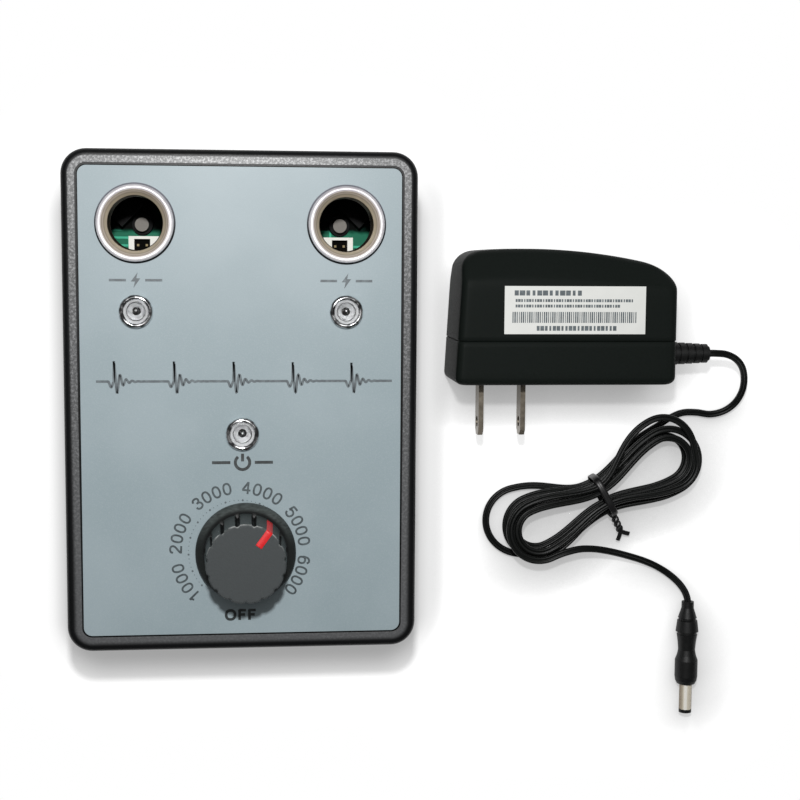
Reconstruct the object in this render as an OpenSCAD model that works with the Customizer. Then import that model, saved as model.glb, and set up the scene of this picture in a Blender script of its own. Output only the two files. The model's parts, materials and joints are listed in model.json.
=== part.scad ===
// Bench tester for two spark plugs, with its mains adapter, hank of cord and barrel plug.
// Millimetres. Origin at the middle of the case on the table, +Z up out of the panel,
// +Y towards the sockets, +X towards the adapter.

/* [Case] */
// Outside width of the case
case_w = 98; // [88:1:112]
// Outside length of the case
case_l = 140; // [126:1:158]
// Height of the two case halves together
case_h = 40; // [38:1:48]
// Height of the rear half
rear_h = 18; // [17.4:0.2:19]
// Outside corner radius
case_r = 7; // [6.4:0.2:8]
// Wall and floor thickness
case_wall = 2.5; // [2.3:0.1:2.8]
// Rounding of the outer front and back edges
edge_r = 1.8; // [1:0.1:2.2]
// Width of the rim around the panel
rim_w = 4.4; // [4:0.1:4.8]
// Depth of the recess that takes the panel
recess_d = 1.4; // [1.2:0.1:1.8]
// Thickness of the front under the panel
deck_t = 2; // [1.8:0.1:2.6]
// Thickness of the panel
panel_t = 1; // [0.8:0.1:1.2]
// Height of the lip where the halves meet
lip_h = 1.5; // [1:0.1:2]
// Distance of the case screws from the outside walls
screw_inset = 6; // [5.8:0.1:6.4]
// Radius of the screw bosses
boss_r = 4; // [3.8:0.1:4.4]
// Radius of the case screws
screw_r = 1.5; // [1.2:0.1:1.7]
// Radius of the case screw heads
screw_head_r = 2.8; // [2.5:0.1:2.9]
// Depth at which the screw heads seat
screw_seat_d = 5; // [4:0.5:7]
// Height of the rubber feet
foot_h = 2; // [1.5:0.1:3]
// Diameter of the rubber feet
foot_d = 9; // [7:0.5:10]

/* [Sockets] */
// Distance of each socket from the case side
socket_side = 20; // [19:0.5:21]
// Distance of the sockets from the case end
socket_end = 20.2; // [19.4:0.2:21]
// Bore that takes the plug
socket_bore_d = 14.8; // [13.6:0.2:15.4]
// Outside of the body below the panel
socket_body_d = 17.6; // [17:0.2:18.2]
// Outside of the flange
socket_flange_d = 21; // [20.4:0.2:22]
// Height of the flange above the panel
socket_flange_h = 2.2; // [2:0.1:2.8]
// Length of the body below the panel
socket_body_l = 9; // [8.4:0.2:11]
// Width of the socket nuts across flats
socket_nut_af = 22; // [21:0.5:23]
// Thickness of the socket nuts
socket_nut_h = 3; // [2:0.5:3.5]
// Thickness of the earth tags
tag_t = 0.6; // [0.4:0.1:0.8]

/* [Contacts] */
// Outside radius of the contact posts
post_r = 3; // [2.9:0.05:3.05]
// Height of the posts above the case floor
post_h = 6.2; // [6:0.1:7]
// Radius of the contact pins
pin_r = 2; // [1.7:0.05:2.1]
// Height of the pins above the posts
pin_rise = 2.6; // [2.4:0.1:3]
// Radius of the collar that stops each pin
pin_collar_r = 2.4; // [2.3:0.05:2.45]

/* [Lamps] */
// Distance of the signal lamps below the sockets
signal_drop = 24.2; // [22.8:0.2:25]
// Distance of the power lamp up from the middle
power_y = -8.6; // [-10:0.2:-8]
// Outside of the lamp bezels
bezel_d = 8.7; // [8:0.1:9.4]
// Height of the bezels above the panel
bezel_h = 1.5; // [1.2:0.1:2]
// Diameter of the lamps
lamp_d = 5; // [4.6:0.1:5.2]

/* [Control] */
// Sideways place of the control
control_x = 0.8; // [0:0.2:1]
// Distance of the control from the near case end
control_end = 28.2; // [27.4:0.2:29]
// Radius of the control shaft
shaft_r = 3; // [2.8:0.05:3.1]
// Outside radius of the threaded bush
bush_r = 3.7; // [3.6:0.05:3.9]
// Outside radius of the control body
can_r = 8.5; // [8:0.1:9]
// Height of the control body
can_h = 9; // [8:0.5:10]
// Height of the switch can under the body
switch_h = 7; // [5:0.5:8]
// Radius of the knob skirt
knob_skirt_r = 14.05; // [13.5:0.05:14.5]
// Radius of the fluted grip
knob_grip_r = 11.2; // [10.8:0.1:11.6]
// Height of the knob
knob_h = 17; // [14.5:0.1:18]
// Gap between the knob and the panel
knob_gap = 1.2; // [1:0.1:1.8]
// Height of the knob skirt
knob_skirt_h = 4.2; // [3:0.1:5]
// Radius of each flute
flute_r = 0.9; // [0.6:0.05:1.1]
// Width of the red pointer
pointer_w = 2; // [1.6:0.1:2.2]
// Clockwise turn of the pointer from straight up
pointer_turn = 36; // [0:24:108]

/* [Board] */
// Gap from the board to the outside of the case at the sides
board_margin_x = 8; // [7.5:0.1:9]
// Gap from the board to the outside of the case at the ends
board_margin_y = 7; // [6.5:0.1:8]
// Thickness of the board
board_t = 1.6; // [1.2:0.1:1.8]
// Height of the pillars under the board
pillar_h = 3; // [2.8:0.1:3.2]
// Width of the coil blocks
coil_w = 24; // [20:0.5:26]
// Length of the coil blocks
coil_l = 28; // [22:0.5:30]
// Height of the coil blocks
coil_h = 17; // [12:0.5:19]
// Radius of the storage capacitors
can_cap_r = 5; // [4:0.1:5.6]
// Height of the storage capacitors
can_cap_h = 17; // [12:0.5:19]
// Side of the square driver packages
driver_s = 9; // [7:0.5:9.5]
// Height of the driver packages
driver_h = 4.4; // [3:0.2:5]
// Height of the lead headers
header_h = 6.4; // [5:0.2:7]
// Outside radius of the jack nose
jack_nose_r = 3.6; // [3.2:0.1:3.8]
// Bore of the jack
jack_bore_d = 4.2; // [3.8:0.1:5]

/* [Adapter] */
// Gap between the case and the adapter
adapter_gap = 13; // [10:0.5:16]
// Place of the adapter face along the case
adapter_y = 3.5; // [2:0.5:5]
// Width of the adapter
adapter_w = 66; // [64:0.5:68]
// Length of the adapter from face to back
adapter_l = 40; // [39:0.5:42]
// Thickness of the adapter
adapter_t = 29; // [28:0.5:31]
// Wall thickness of the adapter
adapter_wall = 2; // [1.6:0.1:2.4]
// Height of the face shell
face_shell_l = 13; // [11:0.5:14]
// Length of the blades outside the face
blade_l = 16; // [14:0.5:18]
// Width of the blades
blade_w = 6.3; // [5.8:0.1:6.6]
// Thickness of the blades
blade_t = 1.5; // [1.3:0.1:1.7]
// Distance between the blades
blade_pitch = 12.7; // [12:0.1:13]
// Length of the strain relief
boot_l = 14; // [12:0.5:15]

/* [Cord and plug] */
// Diameter of the cord
cord_d = 2.2; // [1.8:0.05:2.25]
// Length of the straight runs of the hank
hank_run = 46; // [44:1:50]
// Inner fold radius of the hank
hank_fold_r = 6.3; // [6.2:0.1:6.8]
// Half width of the hole at the waist of the hank
hank_waist = 1.5; // [1.4:0.1:1.8]
// Sideways step from loop to loop
hank_step = 2.7; // [2.65:0.05:2.9]
// Height step from layer to layer
hank_layer = 2.72; // [2.66:0.02:2.9]
// Thickness of the twist tie
tie_t = 0.5; // [0.4:0.05:0.6]
// Width of the twist tie
tie_w = 2.4; // [1.6:0.1:3]
// Largest radius of the plug grip
grip_r = 3.6; // [3.4:0.05:4]
// Length of the plug grip
grip_l = 26.6; // [24:0.2:30]
// Outside diameter of the plug barrel
barrel_d = 4; // [3.6:0.1:4.6]
// Length of the plug barrel
barrel_l = 9.5; // [8.5:0.1:11]

/* [Hidden] */
// Clearances
panel_gap = 0.2;
hole_gap = 0.2;
fit_gap = 0.05;
slide_gap = 0.06;
shadow_gap = 0.5;
lip_gap = 0.15;
board_gap = 1;

// Heights in the case
z_floor = foot_h + case_wall;
z_split = foot_h + rear_h;
z_rim = foot_h + case_h;
z_deck = z_rim - recess_d;
z_under = z_deck - deck_t;
z_panel = z_deck + panel_t;
z_board = z_floor + pillar_h + board_t;
z_screw = foot_h + screw_seat_d;
screw_bite = 10;
screw_head_h = 2;
screw_cross = [3.2, 0.6, 1];
lip_t = 1;
lip_root = 2;
skin = 0.5;

// Plan places
socket_x = case_w / 2 - socket_side;
socket_y = case_l / 2 - socket_end;
signal_y = socket_y - signal_drop;
control_y = control_end - case_l / 2;
screw_x = case_w / 2 - screw_inset;
screw_y = case_l / 2 - screw_inset;
foot_inset_x = 16;
foot_inset_y = 10;
foot_x = case_w / 2 - foot_inset_x;
foot_y = case_l / 2 - foot_inset_y;
board_w = case_w - 2 * board_margin_x;
board_l = case_l - 2 * board_margin_y;
pillar_r = 3;
board_screw_r = 1.25;
board_screw_head_r = 2.6;
board_screw_l = 4.2;
board_screw_head_h = 1.8;
board_screw_cross = [2.8, 0.5, 0.8];
jack_w = 9;
pillar_inset = 6;
pillar_jack_gap = 10.5;
pillar_top_x = jack_w / 2 + pillar_jack_gap;
pillar_end_x = board_w / 2 - pillar_inset;
pillar_y = board_l / 2 - pillar_inset;
pillars = [
  [-pillar_top_x, pillar_y], [pillar_top_x, pillar_y], [-pillar_end_x, -pillar_y], [pillar_end_x, -pillar_y]
];
lamp_places = [[-socket_x, signal_y], [socket_x, signal_y], [0, power_y]];

// Sockets
bead_r = 0.7;
bead_drop = 0.2;
seat_drop = 1.4;
tag_tail_l = 6;
tag_tail_w = 4;
tag_wire_inset = 2;
wire_r = 0.6;
earth_wire_x = socket_x - socket_nut_af / 2 - tag_tail_l + tag_wire_inset;

// Contacts
post_lip = 1;
post_bore_r = pin_collar_r + slide_gap;
z_post = z_floor + post_h;
z_collar_top = z_post - post_lip - fit_gap;
pin_collar_h = 0.9;
spring_wire_r = 0.2;
spring_play = 0.25;
spring_r = post_bore_r - spring_wire_r - spring_play;
spring_turns = 3;
spring_rings = 8;
spring_gap = 0.02;
spring_low = z_floor + spring_wire_r + spring_gap;
spring_high = z_collar_top - pin_collar_h - spring_wire_r - spring_gap;

// Lamps
bezel_wall = 1.1;
bezel_body_r = lamp_d / 2 + bezel_wall;
bezel_body_l = 6;
lamp_lip_w = 0.45;
lamp_lip_r = lamp_d / 2 + lamp_lip_w;
lamp_lip_h = 1;
lamp_rise = 2.4;
lamp_h = 8.6;
z_lamp = z_panel + lamp_rise - lamp_h;
lamp_wire_r = 0.3;
lamp_wire_gap = 1.27;

// Control
washer_r = 6.2;
washer_t = 0.5;
nut_af = 10;
nut_h = 2;
z_nut = z_panel + washer_t;
bush_rise = 1;
z_bush = z_nut + nut_h + bush_rise;
z_can = z_under - can_h;
wafer_t = 1.2;
can_wall = 0.8;
wiper_t = 1.5;
wiper_gap = 1;
wiper_lift = 2;
wiper_r = can_r - can_wall - wiper_gap;
z_wiper = z_can + wiper_lift;
lug_l = 5;
lug_w = 2;
lug_turns = [-30, 0, 30];
lug_wire_inset = 1.2;
switch_step = 0.5;
switch_r = can_r - switch_step;
switch_lug_x = 4;
switch_lug_h = 3;
switch_lug_t = 0.8;
z_switch = z_can - wafer_t - switch_h;
z_knob = z_panel + knob_gap;
knob_hollow_r = 8.2;
knob_hollow_h = 5.4;
shaft_flat = 0.6;
knob_cap_t = 2.6;
z_shaft = z_knob + knob_h - knob_cap_t;
knob_edge = 0.5;
flute_count = 15;
flute_out = 0.35;
pointer_t = 0.9;
pointer_from = 5.8;
pointer_out = 0.2;

// Board parts
coil_inset = 16;
coil_x = board_w / 2 - coil_inset;
coil_y = -2;
coil_r = 2;
capacitor_inset = 11;
capacitor_row = 29;
capacitor_pitch = 13;
capacitor_x = board_w / 2 - capacitor_inset;
capacitor_y = capacitor_row - board_l / 2;
capacitors = [
  [-capacitor_x, capacitor_y], [-capacitor_x, capacitor_y - capacitor_pitch], [capacitor_x, capacitor_y]
];
can_groove = [1.2, 0.8, 0.4];
driver_off = 5.7;
header_near = 3.4;
header_w = 8.7;
header_l = 5.2;
header_in = 0.65;
header_wall = 0.8;
header_floor = 1;
header_hole_in = 0.2;
header_hole_w = 4.6;
header_hole_l = 3.6;
header_pin = 0.64;
header_pin_gap = 2.5;
header_pin_drop = 1;
chip_y = 14;
chip_l = 9.6;
chip_w = 6.4;
chip_h = 3.3;
chip_lift = 0.6;
chip_pitch = 2.54;
chip_leg = [0.8, 1, 2.2];
chip_leg_out = 0.3;
jack_l = 11;
jack_h = 9;
jack_axis_h = 5;
z_jack = z_board + jack_axis_h;
jack_inset = 0.4;
jack_bore_l = 10;
jack_pin_r = 0.8;
jack_pin_l = 8.6;

// Adapter outline: a flat face, a leaning left side and an arched back
adapter_x = case_w / 2 + adapter_gap;
adapter_edge = 2;
face_r = 2.5;
side_r = 5;
side_lean = 2.2;
back_r = 9;
crown_u = 22;
arch_r = 167;
slope_v = adapter_l - 9;
slope_d = 5;
blade_u = 9.3;
blade_in = 4;
blade_foot = 1.5;
blade_hole_r = 1.6;
blade_hole_in = 4;
blade_tip = 1.6;
label_u = 14;
label_v = 15.2;
label_w = 42;
label_l = 14;
label_t = 0.2;
inner_board_z = 7;
inner_board = [46, 17, 1.6];
inner_board_u = 10;
board_ribs_u = [14, 50];
board_rib_w = 3;
board_rib_l = 12;
board_rib_in = 3;
transformer = [18, 15, 13];
transformer_u = 28;
transformer_in = 1;
supply_can_r = 5;
supply_can_h = 12;
supply_can_u = 19;
supply_can_in = 8.5;
z_inner_board = inner_board_z + inner_board[2];
boot_v = 8.5;
boot_base_r = 3.6;
boot_tip_r = 2.9;
boot_ribs = 6;
boot_rib_share = 0.7;
boot_groove = 0.7;

arc_steps = 6;
function arc(u, v, r, a, b) = [for (i = [0:arc_steps]) let (t = a + (b - a) * i / arc_steps)
  [u + r * cos(t), v + r * sin(t)]];
function arch(u) = adapter_l - (u - crown_u) * (u - crown_u) / (2 * arch_r);
back_turn = 78;
back_v = arch(adapter_w - back_r * (1 - cos(back_turn))) - back_r * sin(back_turn);
side_v = arch(side_lean + side_r) - side_r;
adapter_outline = concat(
  arc(face_r, face_r, face_r, 176, 270),
  arc(adapter_w - face_r, face_r, face_r, 270, 360),
  arc(adapter_w - back_r, back_v, back_r, 0, back_turn),
  [for (u = [52:-8:12]) [u, arch(u)]],
  arc(side_lean + side_r, side_v, side_r, 95, 176)
);

// Cord route from the strain relief to the hank, and from the hank to the plug
plug_x = 141;
plug_y = -68;
boot_end = [adapter_x + adapter_w + boot_l, adapter_y + boot_v, adapter_t / 2];
lead_route = [
  boot_end, boot_end + [cord_d, 0, 0], [148, 11.6, 13.8], [151.6, 10, 12.2], [154.4, 7.2, 10],
  [156, 3.4, 7.4], [156.2, -0.8, 5], [154.6, -4.6, 3.2], [151.4, -7.2, 2.1], [147.2, -8.2, 1.7],
  [142.6, -7.6, 1.7], [138.2, -7.7, 1.7], [134.2, -9.3, 1.7]
];
tail_route = [
  [100.4, -50.1, 9.8], [104.4, -49.4, 9.3], [108.8, -49.6, 8.4], [113.2, -50.5, 7], [117.8, -51.8, 5.4],
  [122.4, -53.3, 4], [127, -55, 2.8], [131.2, -57, 1.9], [135, -59.4, 1.7], [138.2, -62.2, 2.2],
  [140.4, -65, 3.1]
];

// Hank: a loop with a waist, wound in four layers that spiral in and out
hank_x = 112;
hank_y = -33;
hank_turn = 29;
tie_gap = 0.1;
hank_low = tie_t + tie_gap + cord_d / 2;
hank_turns = 5.5;
hank_rings = 24;
hank_flips = [1.22, 2.72, 4.22];
hank_skew = [-5, 5, -3];
climb_from = 0.19;
climb_for = 0.25;
loose_left = 8;
loose_top = 7;

function unit(v) = v / norm(v);
function ease(x) = let (c = min(1, max(0, x))) c * c * (3 - 2 * c);
function climb(t, i) = ease((t - hank_flips[i] + climb_from) / climb_for);
function layers_up(t) = climb(t, 0) + climb(t, 1) + climb(t, 2);
function skew(t) = hank_skew[0] * climb(t, 0) + hank_skew[1] * climb(t, 1) + hank_skew[2] * climb(t, 2);
function bulge(t, at, half) = abs(t - at) < half ? pow(cos(90 * (t - at) / half), 2) : 0;
function loop_number(t) = t < hank_flips[1] ? abs(t - hank_flips[0]) : abs(t - hank_flips[2]);
function loose(t) = loose_left * bulge(t, 0.3, 0.15) + loose_top * bulge(t, 5, 0.14);
function loop_out(t) = hank_step * loop_number(t) + loose(t);
function run_b(a) = hank_fold_r - (hank_fold_r - hank_waist) * (1 + cos(360 * a / hank_run)) / 2;
function run_slope(a) = (hank_fold_r - hank_waist) * PI / hank_run * sin(360 * a / hank_run);
function run_point(a, out) = [a, run_b(a)] + out * unit([-run_slope(a), 1]);
function fold_point(q, out) = [-hank_run / 2, 0] + (hank_fold_r + out) * [-sin(180 * q), cos(180 * q)];
function half_loop(h, out) = h < 0.5
  ? run_point(hank_run * (0.5 - 2 * h), out)
  : fold_point(2 * h - 1, out);
function turned(p, a) = [p[0] * cos(a) - p[1] * sin(a), p[0] * sin(a) + p[1] * cos(a)];
function loop_point(t) = let (u = 2 * (t - floor(t)), p = half_loop(u - floor(u), loop_out(t)))
  u < 1 ? p : -p;
function hank_flat(t) = turned(loop_point(t), hank_turn + skew(t));
function hank_point(t) = [hank_x, hank_y, hank_low + hank_layer * layers_up(t)] + concat(hank_flat(t), [0]);
function hank_path(n) = [for (i = [0:hank_turns * n]) hank_point(i / n)];
hank_start = hank_point(0);
hank_end = hank_point(hank_turns);
hank_in = unit(hank_point(0.01) - hank_start);
hank_out = unit(hank_end - hank_point(hank_turns - 0.01));
hank_route = concat(
  [hank_start],
  [hank_start + cord_d * hank_in],
  [for (i = [2:hank_turns * hank_rings - 2]) hank_point(i / hank_rings)],
  [hank_end - cord_d * hank_out],
  [hank_end]
);
hank_height = 3 * hank_layer + cord_d;
tie_half = hank_waist + 1.5 * hank_step + cord_d / 2 + tie_gap;
tie_tail_r = 0.7;
tie_tail_l = 9;
tie_tail_z = 5;
tie_tail_turn = 24;
tie_tail_in = 0.2;

function ring(p, t, r, n) = let (s = unit(cross(t, [0, 0, 1])), w = cross(s, t))
  [for (j = [0:n - 1]) p + r * (cos(360 * j / n) * s + sin(360 * j / n) * w)];
function heading(path, i) = unit(path[min(i + 1, len(path) - 1)] - path[max(i - 1, 0)]);
function gap_from(p, i, skip) = min([for (j = [i + skip:len(p) - 1]) norm(p[i] - p[j])]);
function least_gap(p, skip) = min([for (i = [0:len(p) - skip - 1]) gap_from(p, i, skip)]);

// Plug grip, as radius and distance from the cord end
grip_profile = [
  [0, 0], [0.54, 0], [0.54, 2], [0.82, 5.2], [0.74, 5.4], [0.74, 5.9], [0.88, 6.1], [1, 9.6], [0.84, 9.8],
  [0.84, 10.4], [0.9, 10.6], [0.8, 13], [0.74, 15.6], [0.84, 17.4], [1, 19], [1, 24.2], [0.94, 25.6],
  [0.8, 26.6], [0, 26.6]
];
grip_profile_l = 26.6;
barrel_bore_r = 0.85;
barrel_tip_l = 1.1;

module round_rect(w, l, r) {
  square([w, l - 2 * r], center = true);
  square([w - 2 * r, l], center = true);
  for (x = [-1, 1], y = [-1, 1]) {
    translate([x * (w / 2 - r), y * (l / 2 - r)]) circle(r, $fn = 64);
  }
}

module side_profile(r, h) {
  square([r, h - edge_r]);
  square([r - edge_r, h]);
  translate([r - edge_r, h - edge_r]) circle(edge_r, $fn = 48);
}

// Block with upright rounded corners and a rounded top edge
module eased_block(w, l, r, h) {
  x = w / 2 - r;
  y = l / 2 - r;
  translate([-x, -y, 0]) cube([2 * x, 2 * y, h]);
  for (s = [0, 180]) {
    rotate([0, 0, s]) {
      translate([x, y, 0]) rotate([90, 0, 0]) linear_extrude(2 * y) side_profile(r, h);
      translate([-x, y, 0]) rotate([90, 0, 90]) linear_extrude(2 * x) side_profile(r, h);
      translate([x, y, 0]) rotate_extrude(angle = 90, $fn = 64) side_profile(r, h);
      translate([-x, y, 0]) rotate([0, 0, 90]) rotate_extrude(angle = 90, $fn = 64) side_profile(r, h);
    }
  }
}

module at_corners(x, y) {
  for (i = [-1, 1], j = [-1, 1]) translate([i * x, j * y, 0]) children();
}

module at_pillars() {
  for (p = pillars) translate([p[0], p[1], 0]) children();
}

module at_sockets() {
  for (s = [-1, 1]) translate([s * socket_x, socket_y, 0]) children();
}

module at_lamps() {
  for (p = lamp_places) translate([p[0], p[1], 0]) children();
}

module at_control() {
  translate([control_x, control_y, 0]) children();
}

module at_knob() {
  at_control() translate([0, 0, z_knob]) rotate([0, 0, -pointer_turn]) children();
}

module rod(r, low, high) {
  translate([0, 0, low]) cylinder(r = r, h = high - low, $fn = 64);
}

module pipe(r, bore, low, high) {
  difference() {
    rod(r, low, high);
    rod(bore, low - 1, high + 1);
  }
}

module hex(af, low, high) {
  translate([0, 0, low]) cylinder(d = af / cos(30), h = high - low, $fn = 6);
}

// Upright block that stays a set distance inside the outside of the case
module inside_case(inset, low, high) {
  translate([0, 0, low]) linear_extrude(high - low)
    round_rect(case_w - 2 * inset, case_l - 2 * inset, case_r - inset);
}

module cross_recess(size, low) {
  for (a = [0, 90]) rotate([0, 0, a]) {
    translate([-size[0] / 2, -size[1] / 2, low]) cube(size + [0, 0, 1]);
  }
}

// Round tube along a path
module sweep(path, r, n) {
  m = len(path);
  points = [for (i = [0:m - 1]) each ring(path[i], heading(path, i), r, n)];
  sides = [for (i = [0:m - 2], j = [0:n - 1]) let (a = i * n + j, b = i * n + (j + 1) % n)
    each [[a, b, b + n], [a, b + n, a + n]]];
  near = [for (j = [n - 1:-1:0]) j];
  far = [for (j = [0:n - 1]) (m - 1) * n + j];
  polyhedron(points, concat([near], sides, [far]));
}

module front_case() {
  color([0.16, 0.17, 0.18]) difference() {
    union() {
      difference() {
        translate([0, 0, z_split]) eased_block(case_w, case_l, case_r, z_rim - z_split);
        inside_case(case_wall, z_split - 1, z_under);
      }
      intersection() {
        at_corners(screw_x, screw_y) rod(boss_r, z_split, z_under + deck_t / 2);
        inside_case(skin, z_split, z_rim);
      }
    }
    inside_case(rim_w, z_deck, z_rim + 1);
    at_corners(screw_x, screw_y) rod(screw_r + fit_gap, z_split - 1, z_split + screw_bite + 2);
    at_sockets() rod(socket_body_d / 2 + hole_gap, z_under - 1, z_rim);
    at_lamps() rod(bezel_body_r + hole_gap, z_under - 1, z_rim);
    at_control() rod(bush_r + hole_gap, z_under - 1, z_rim);
  }
}

module rear_case() {
  color([0.14, 0.15, 0.16]) difference() {
    union() {
      difference() {
        translate([0, 0, z_split]) mirror([0, 0, 1]) eased_block(case_w, case_l, case_r, rear_h);
        inside_case(case_wall, z_floor, z_split + 1);
        difference() {
          inside_case(-1, z_split - shadow_gap, z_split + 1);
          inside_case(shadow_gap, z_split - 2 * shadow_gap, z_split + 2);
        }
      }
      difference() {
        lip();
        at_corners(screw_x, screw_y) rod(boss_r + hole_gap, z_split, z_split + lip_h + 1);
      }
      intersection() {
        at_corners(screw_x, screw_y) rod(boss_r, foot_h + case_wall / 2, z_split);
        inside_case(skin, foot_h, z_split);
      }
      at_pillars() rod(pillar_r, z_floor - case_wall / 2, z_floor + pillar_h);
    }
    at_corners(screw_x, screw_y) rod(screw_r + hole_gap, foot_h - 1, z_split + 1);
    at_corners(screw_x, screw_y) rod(screw_head_r + hole_gap, foot_h - 1, z_screw);
    at_pillars() rod(board_screw_r + fit_gap, z_floor + pillar_h - board_screw_l, z_floor + pillar_h + 1);
    translate([0, case_l / 2 + 1, z_jack]) rotate([90, 0, 0])
      cylinder(r = jack_nose_r + hole_gap, h = case_wall + 2, $fn = 64);
  }
}

// Raised edge that stands inside the front half
module lip() {
  difference() {
    union() {
      inside_case(case_wall, z_split - lip_root, z_split);
      inside_case(case_wall + lip_gap, z_split - lip_root, z_split + lip_h);
    }
    inside_case(case_wall + lip_t, z_split - lip_root - 1, z_split + lip_h + 1);
  }
}

module front_panel() {
  color([0.62, 0.68, 0.70]) difference() {
    inside_case(rim_w + panel_gap, z_deck, z_panel);
    at_sockets() rod(socket_body_d / 2 + hole_gap, z_deck - 1, z_rim);
    at_lamps() rod(bezel_body_r + hole_gap, z_deck - 1, z_rim);
    at_control() rod(bush_r + hole_gap, z_deck - 1, z_rim);
  }
}

module case_screws() {
  color([0.6, 0.6, 0.6]) at_corners(screw_x, screw_y) difference() {
    union() {
      rod(screw_r, z_screw - 1, z_split + screw_bite);
      rod(screw_head_r, z_screw - screw_head_h, z_screw);
    }
    cross_recess(screw_cross, z_screw - screw_head_h - 1);
  }
}

module rubber_feet() {
  color([0.1, 0.1, 0.1]) at_corners(foot_x, foot_y) rod(foot_d / 2, 0, foot_h);
}

module plug_socket(s) {
  bore = socket_bore_d / 2;
  flange = socket_flange_d / 2;
  seat = socket_flange_h - bead_r - bead_drop;
  color([0.74, 0.70, 0.62]) translate([s * socket_x, socket_y, z_panel]) rotate_extrude($fn = 96) {
    polygon([
      [bore, -socket_body_l], [socket_body_d / 2, -socket_body_l], [socket_body_d / 2, 0], [flange, 0],
      [flange, socket_flange_h - bead_r], [flange - 2 * bead_r, socket_flange_h - bead_r],
      [flange - 2 * bead_r, seat], [bore, seat - seat_drop]
    ]);
    translate([flange - bead_r, socket_flange_h - bead_r]) circle(bead_r, $fn = 32);
  }
}

module plug_socket_left() {
  plug_socket(-1);
}

module plug_socket_right() {
  plug_socket(1);
}

module socket_nuts() {
  color([0.75, 0.75, 0.72]) at_sockets() difference() {
    hex(socket_nut_af, z_under - tag_t - socket_nut_h, z_under - tag_t);
    rod(socket_body_d / 2 + fit_gap, z_under - 10, z_under);
  }
}

module socket_earth_tags() {
  color([0.8, 0.78, 0.7]) for (s = [-1, 1]) {
    translate([s * socket_x, socket_y, z_under - tag_t]) linear_extrude(tag_t) difference() {
      union() {
        circle(socket_nut_af / 2, $fn = 64);
        translate([s > 0 ? -socket_nut_af / 2 - tag_tail_l : 0, -tag_tail_w / 2])
          square([socket_nut_af / 2 + tag_tail_l, tag_tail_w]);
      }
      circle(socket_body_d / 2 + hole_gap, $fn = 64);
    }
  }
}

module earth_wires() {
  color([0.2, 0.5, 0.2]) for (s = [-1, 1]) {
    translate([s * earth_wire_x, socket_y, 0]) rod(wire_r, z_board, z_under - tag_t);
  }
}

module contact_post(s) {
  color([0.12, 0.12, 0.13]) translate([s * socket_x, socket_y, 0]) difference() {
    rod(post_r, z_floor, z_post);
    rod(post_bore_r, z_floor - 1, z_post - post_lip);
    rod(pin_r + slide_gap, z_floor, z_post + 1);
  }
}

module contact_post_left() {
  contact_post(-1);
}

module contact_post_right() {
  contact_post(1);
}

module contact_pin(s) {
  color([0.7, 0.7, 0.68]) translate([s * socket_x, socket_y, 0]) {
    rod(pin_r, z_collar_top - pin_collar_h, z_post + pin_rise);
    rod(pin_collar_r, z_collar_top - pin_collar_h, z_collar_top);
  }
}

module contact_pin_left() {
  contact_pin(-1);
}

module contact_pin_right() {
  contact_pin(1);
}

module contact_spring(s) {
  n = spring_turns * spring_rings;
  path = [for (i = [0:n]) let (a = 360 * i / spring_rings)
    [spring_r * cos(a), spring_r * sin(a), spring_low + (spring_high - spring_low) * i / n]];
  color([0.6, 0.6, 0.6]) translate([s * socket_x, socket_y, 0]) sweep(path, spring_wire_r, 6);
}

module contact_spring_left() {
  contact_spring(-1);
}

module contact_spring_right() {
  contact_spring(1);
}

module bezel(p) {
  outer = bezel_d / 2;
  lamp = lamp_d / 2 + hole_gap;
  color([0.8, 0.8, 0.82]) translate([p[0], p[1], z_panel]) rotate_extrude($fn = 64) polygon([
    [lamp_lip_r + hole_gap, -bezel_body_l], [bezel_body_r, -bezel_body_l], [bezel_body_r, 0], [outer, 0],
    [outer, bezel_h * 0.4], [outer - 0.25, bezel_h * 0.8], [outer - 0.7, bezel_h], [outer - 1, bezel_h],
    [lamp, bezel_h * 0.5], [lamp, lamp_rise - lamp_h + lamp_lip_h],
    [lamp_lip_r + hole_gap, lamp_rise - lamp_h + lamp_lip_h]
  ]);
}

module signal_bezel_left() {
  bezel(lamp_places[0]);
}

module signal_bezel_right() {
  bezel(lamp_places[1]);
}

module power_bezel() {
  bezel(lamp_places[2]);
}

module lamp(p) {
  color([0.9, 0.9, 0.9]) translate([p[0], p[1], z_lamp]) {
    cylinder(r = lamp_lip_r, h = lamp_lip_h, $fn = 64);
    cylinder(d = lamp_d, h = lamp_h - lamp_d / 2, $fn = 64);
    translate([0, 0, lamp_h - lamp_d / 2]) sphere(d = lamp_d, $fn = 64);
  }
}

module signal_lamp_left() {
  lamp(lamp_places[0]);
}

module signal_lamp_right() {
  lamp(lamp_places[1]);
}

module power_lamp() {
  lamp(lamp_places[2]);
}

module lamp_leads() {
  color([0.7, 0.7, 0.7]) at_lamps() for (s = [-1, 1]) {
    translate([s * lamp_wire_gap, 0, 0]) rod(lamp_wire_r, z_board, z_lamp);
  }
}

module knob_blank() {
  top = knob_h;
  rotate_extrude($fn = 96) polygon([
    [knob_hollow_r, 0], [knob_skirt_r, 0], [knob_skirt_r, 0.9], [knob_skirt_r - 0.5, 1.7],
    [knob_grip_r + 1.1, knob_skirt_h - 0.7], [knob_grip_r, knob_skirt_h], [knob_grip_r, top - knob_edge],
    [knob_grip_r - knob_edge, top], [0, top], [0, knob_hollow_h], [knob_hollow_r, knob_hollow_h]
  ]);
}

module shaft_section(r) {
  intersection() {
    circle(r, $fn = 64);
    translate([-r, -r]) square([2 * r, 2 * r - shaft_flat]);
  }
}

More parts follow.
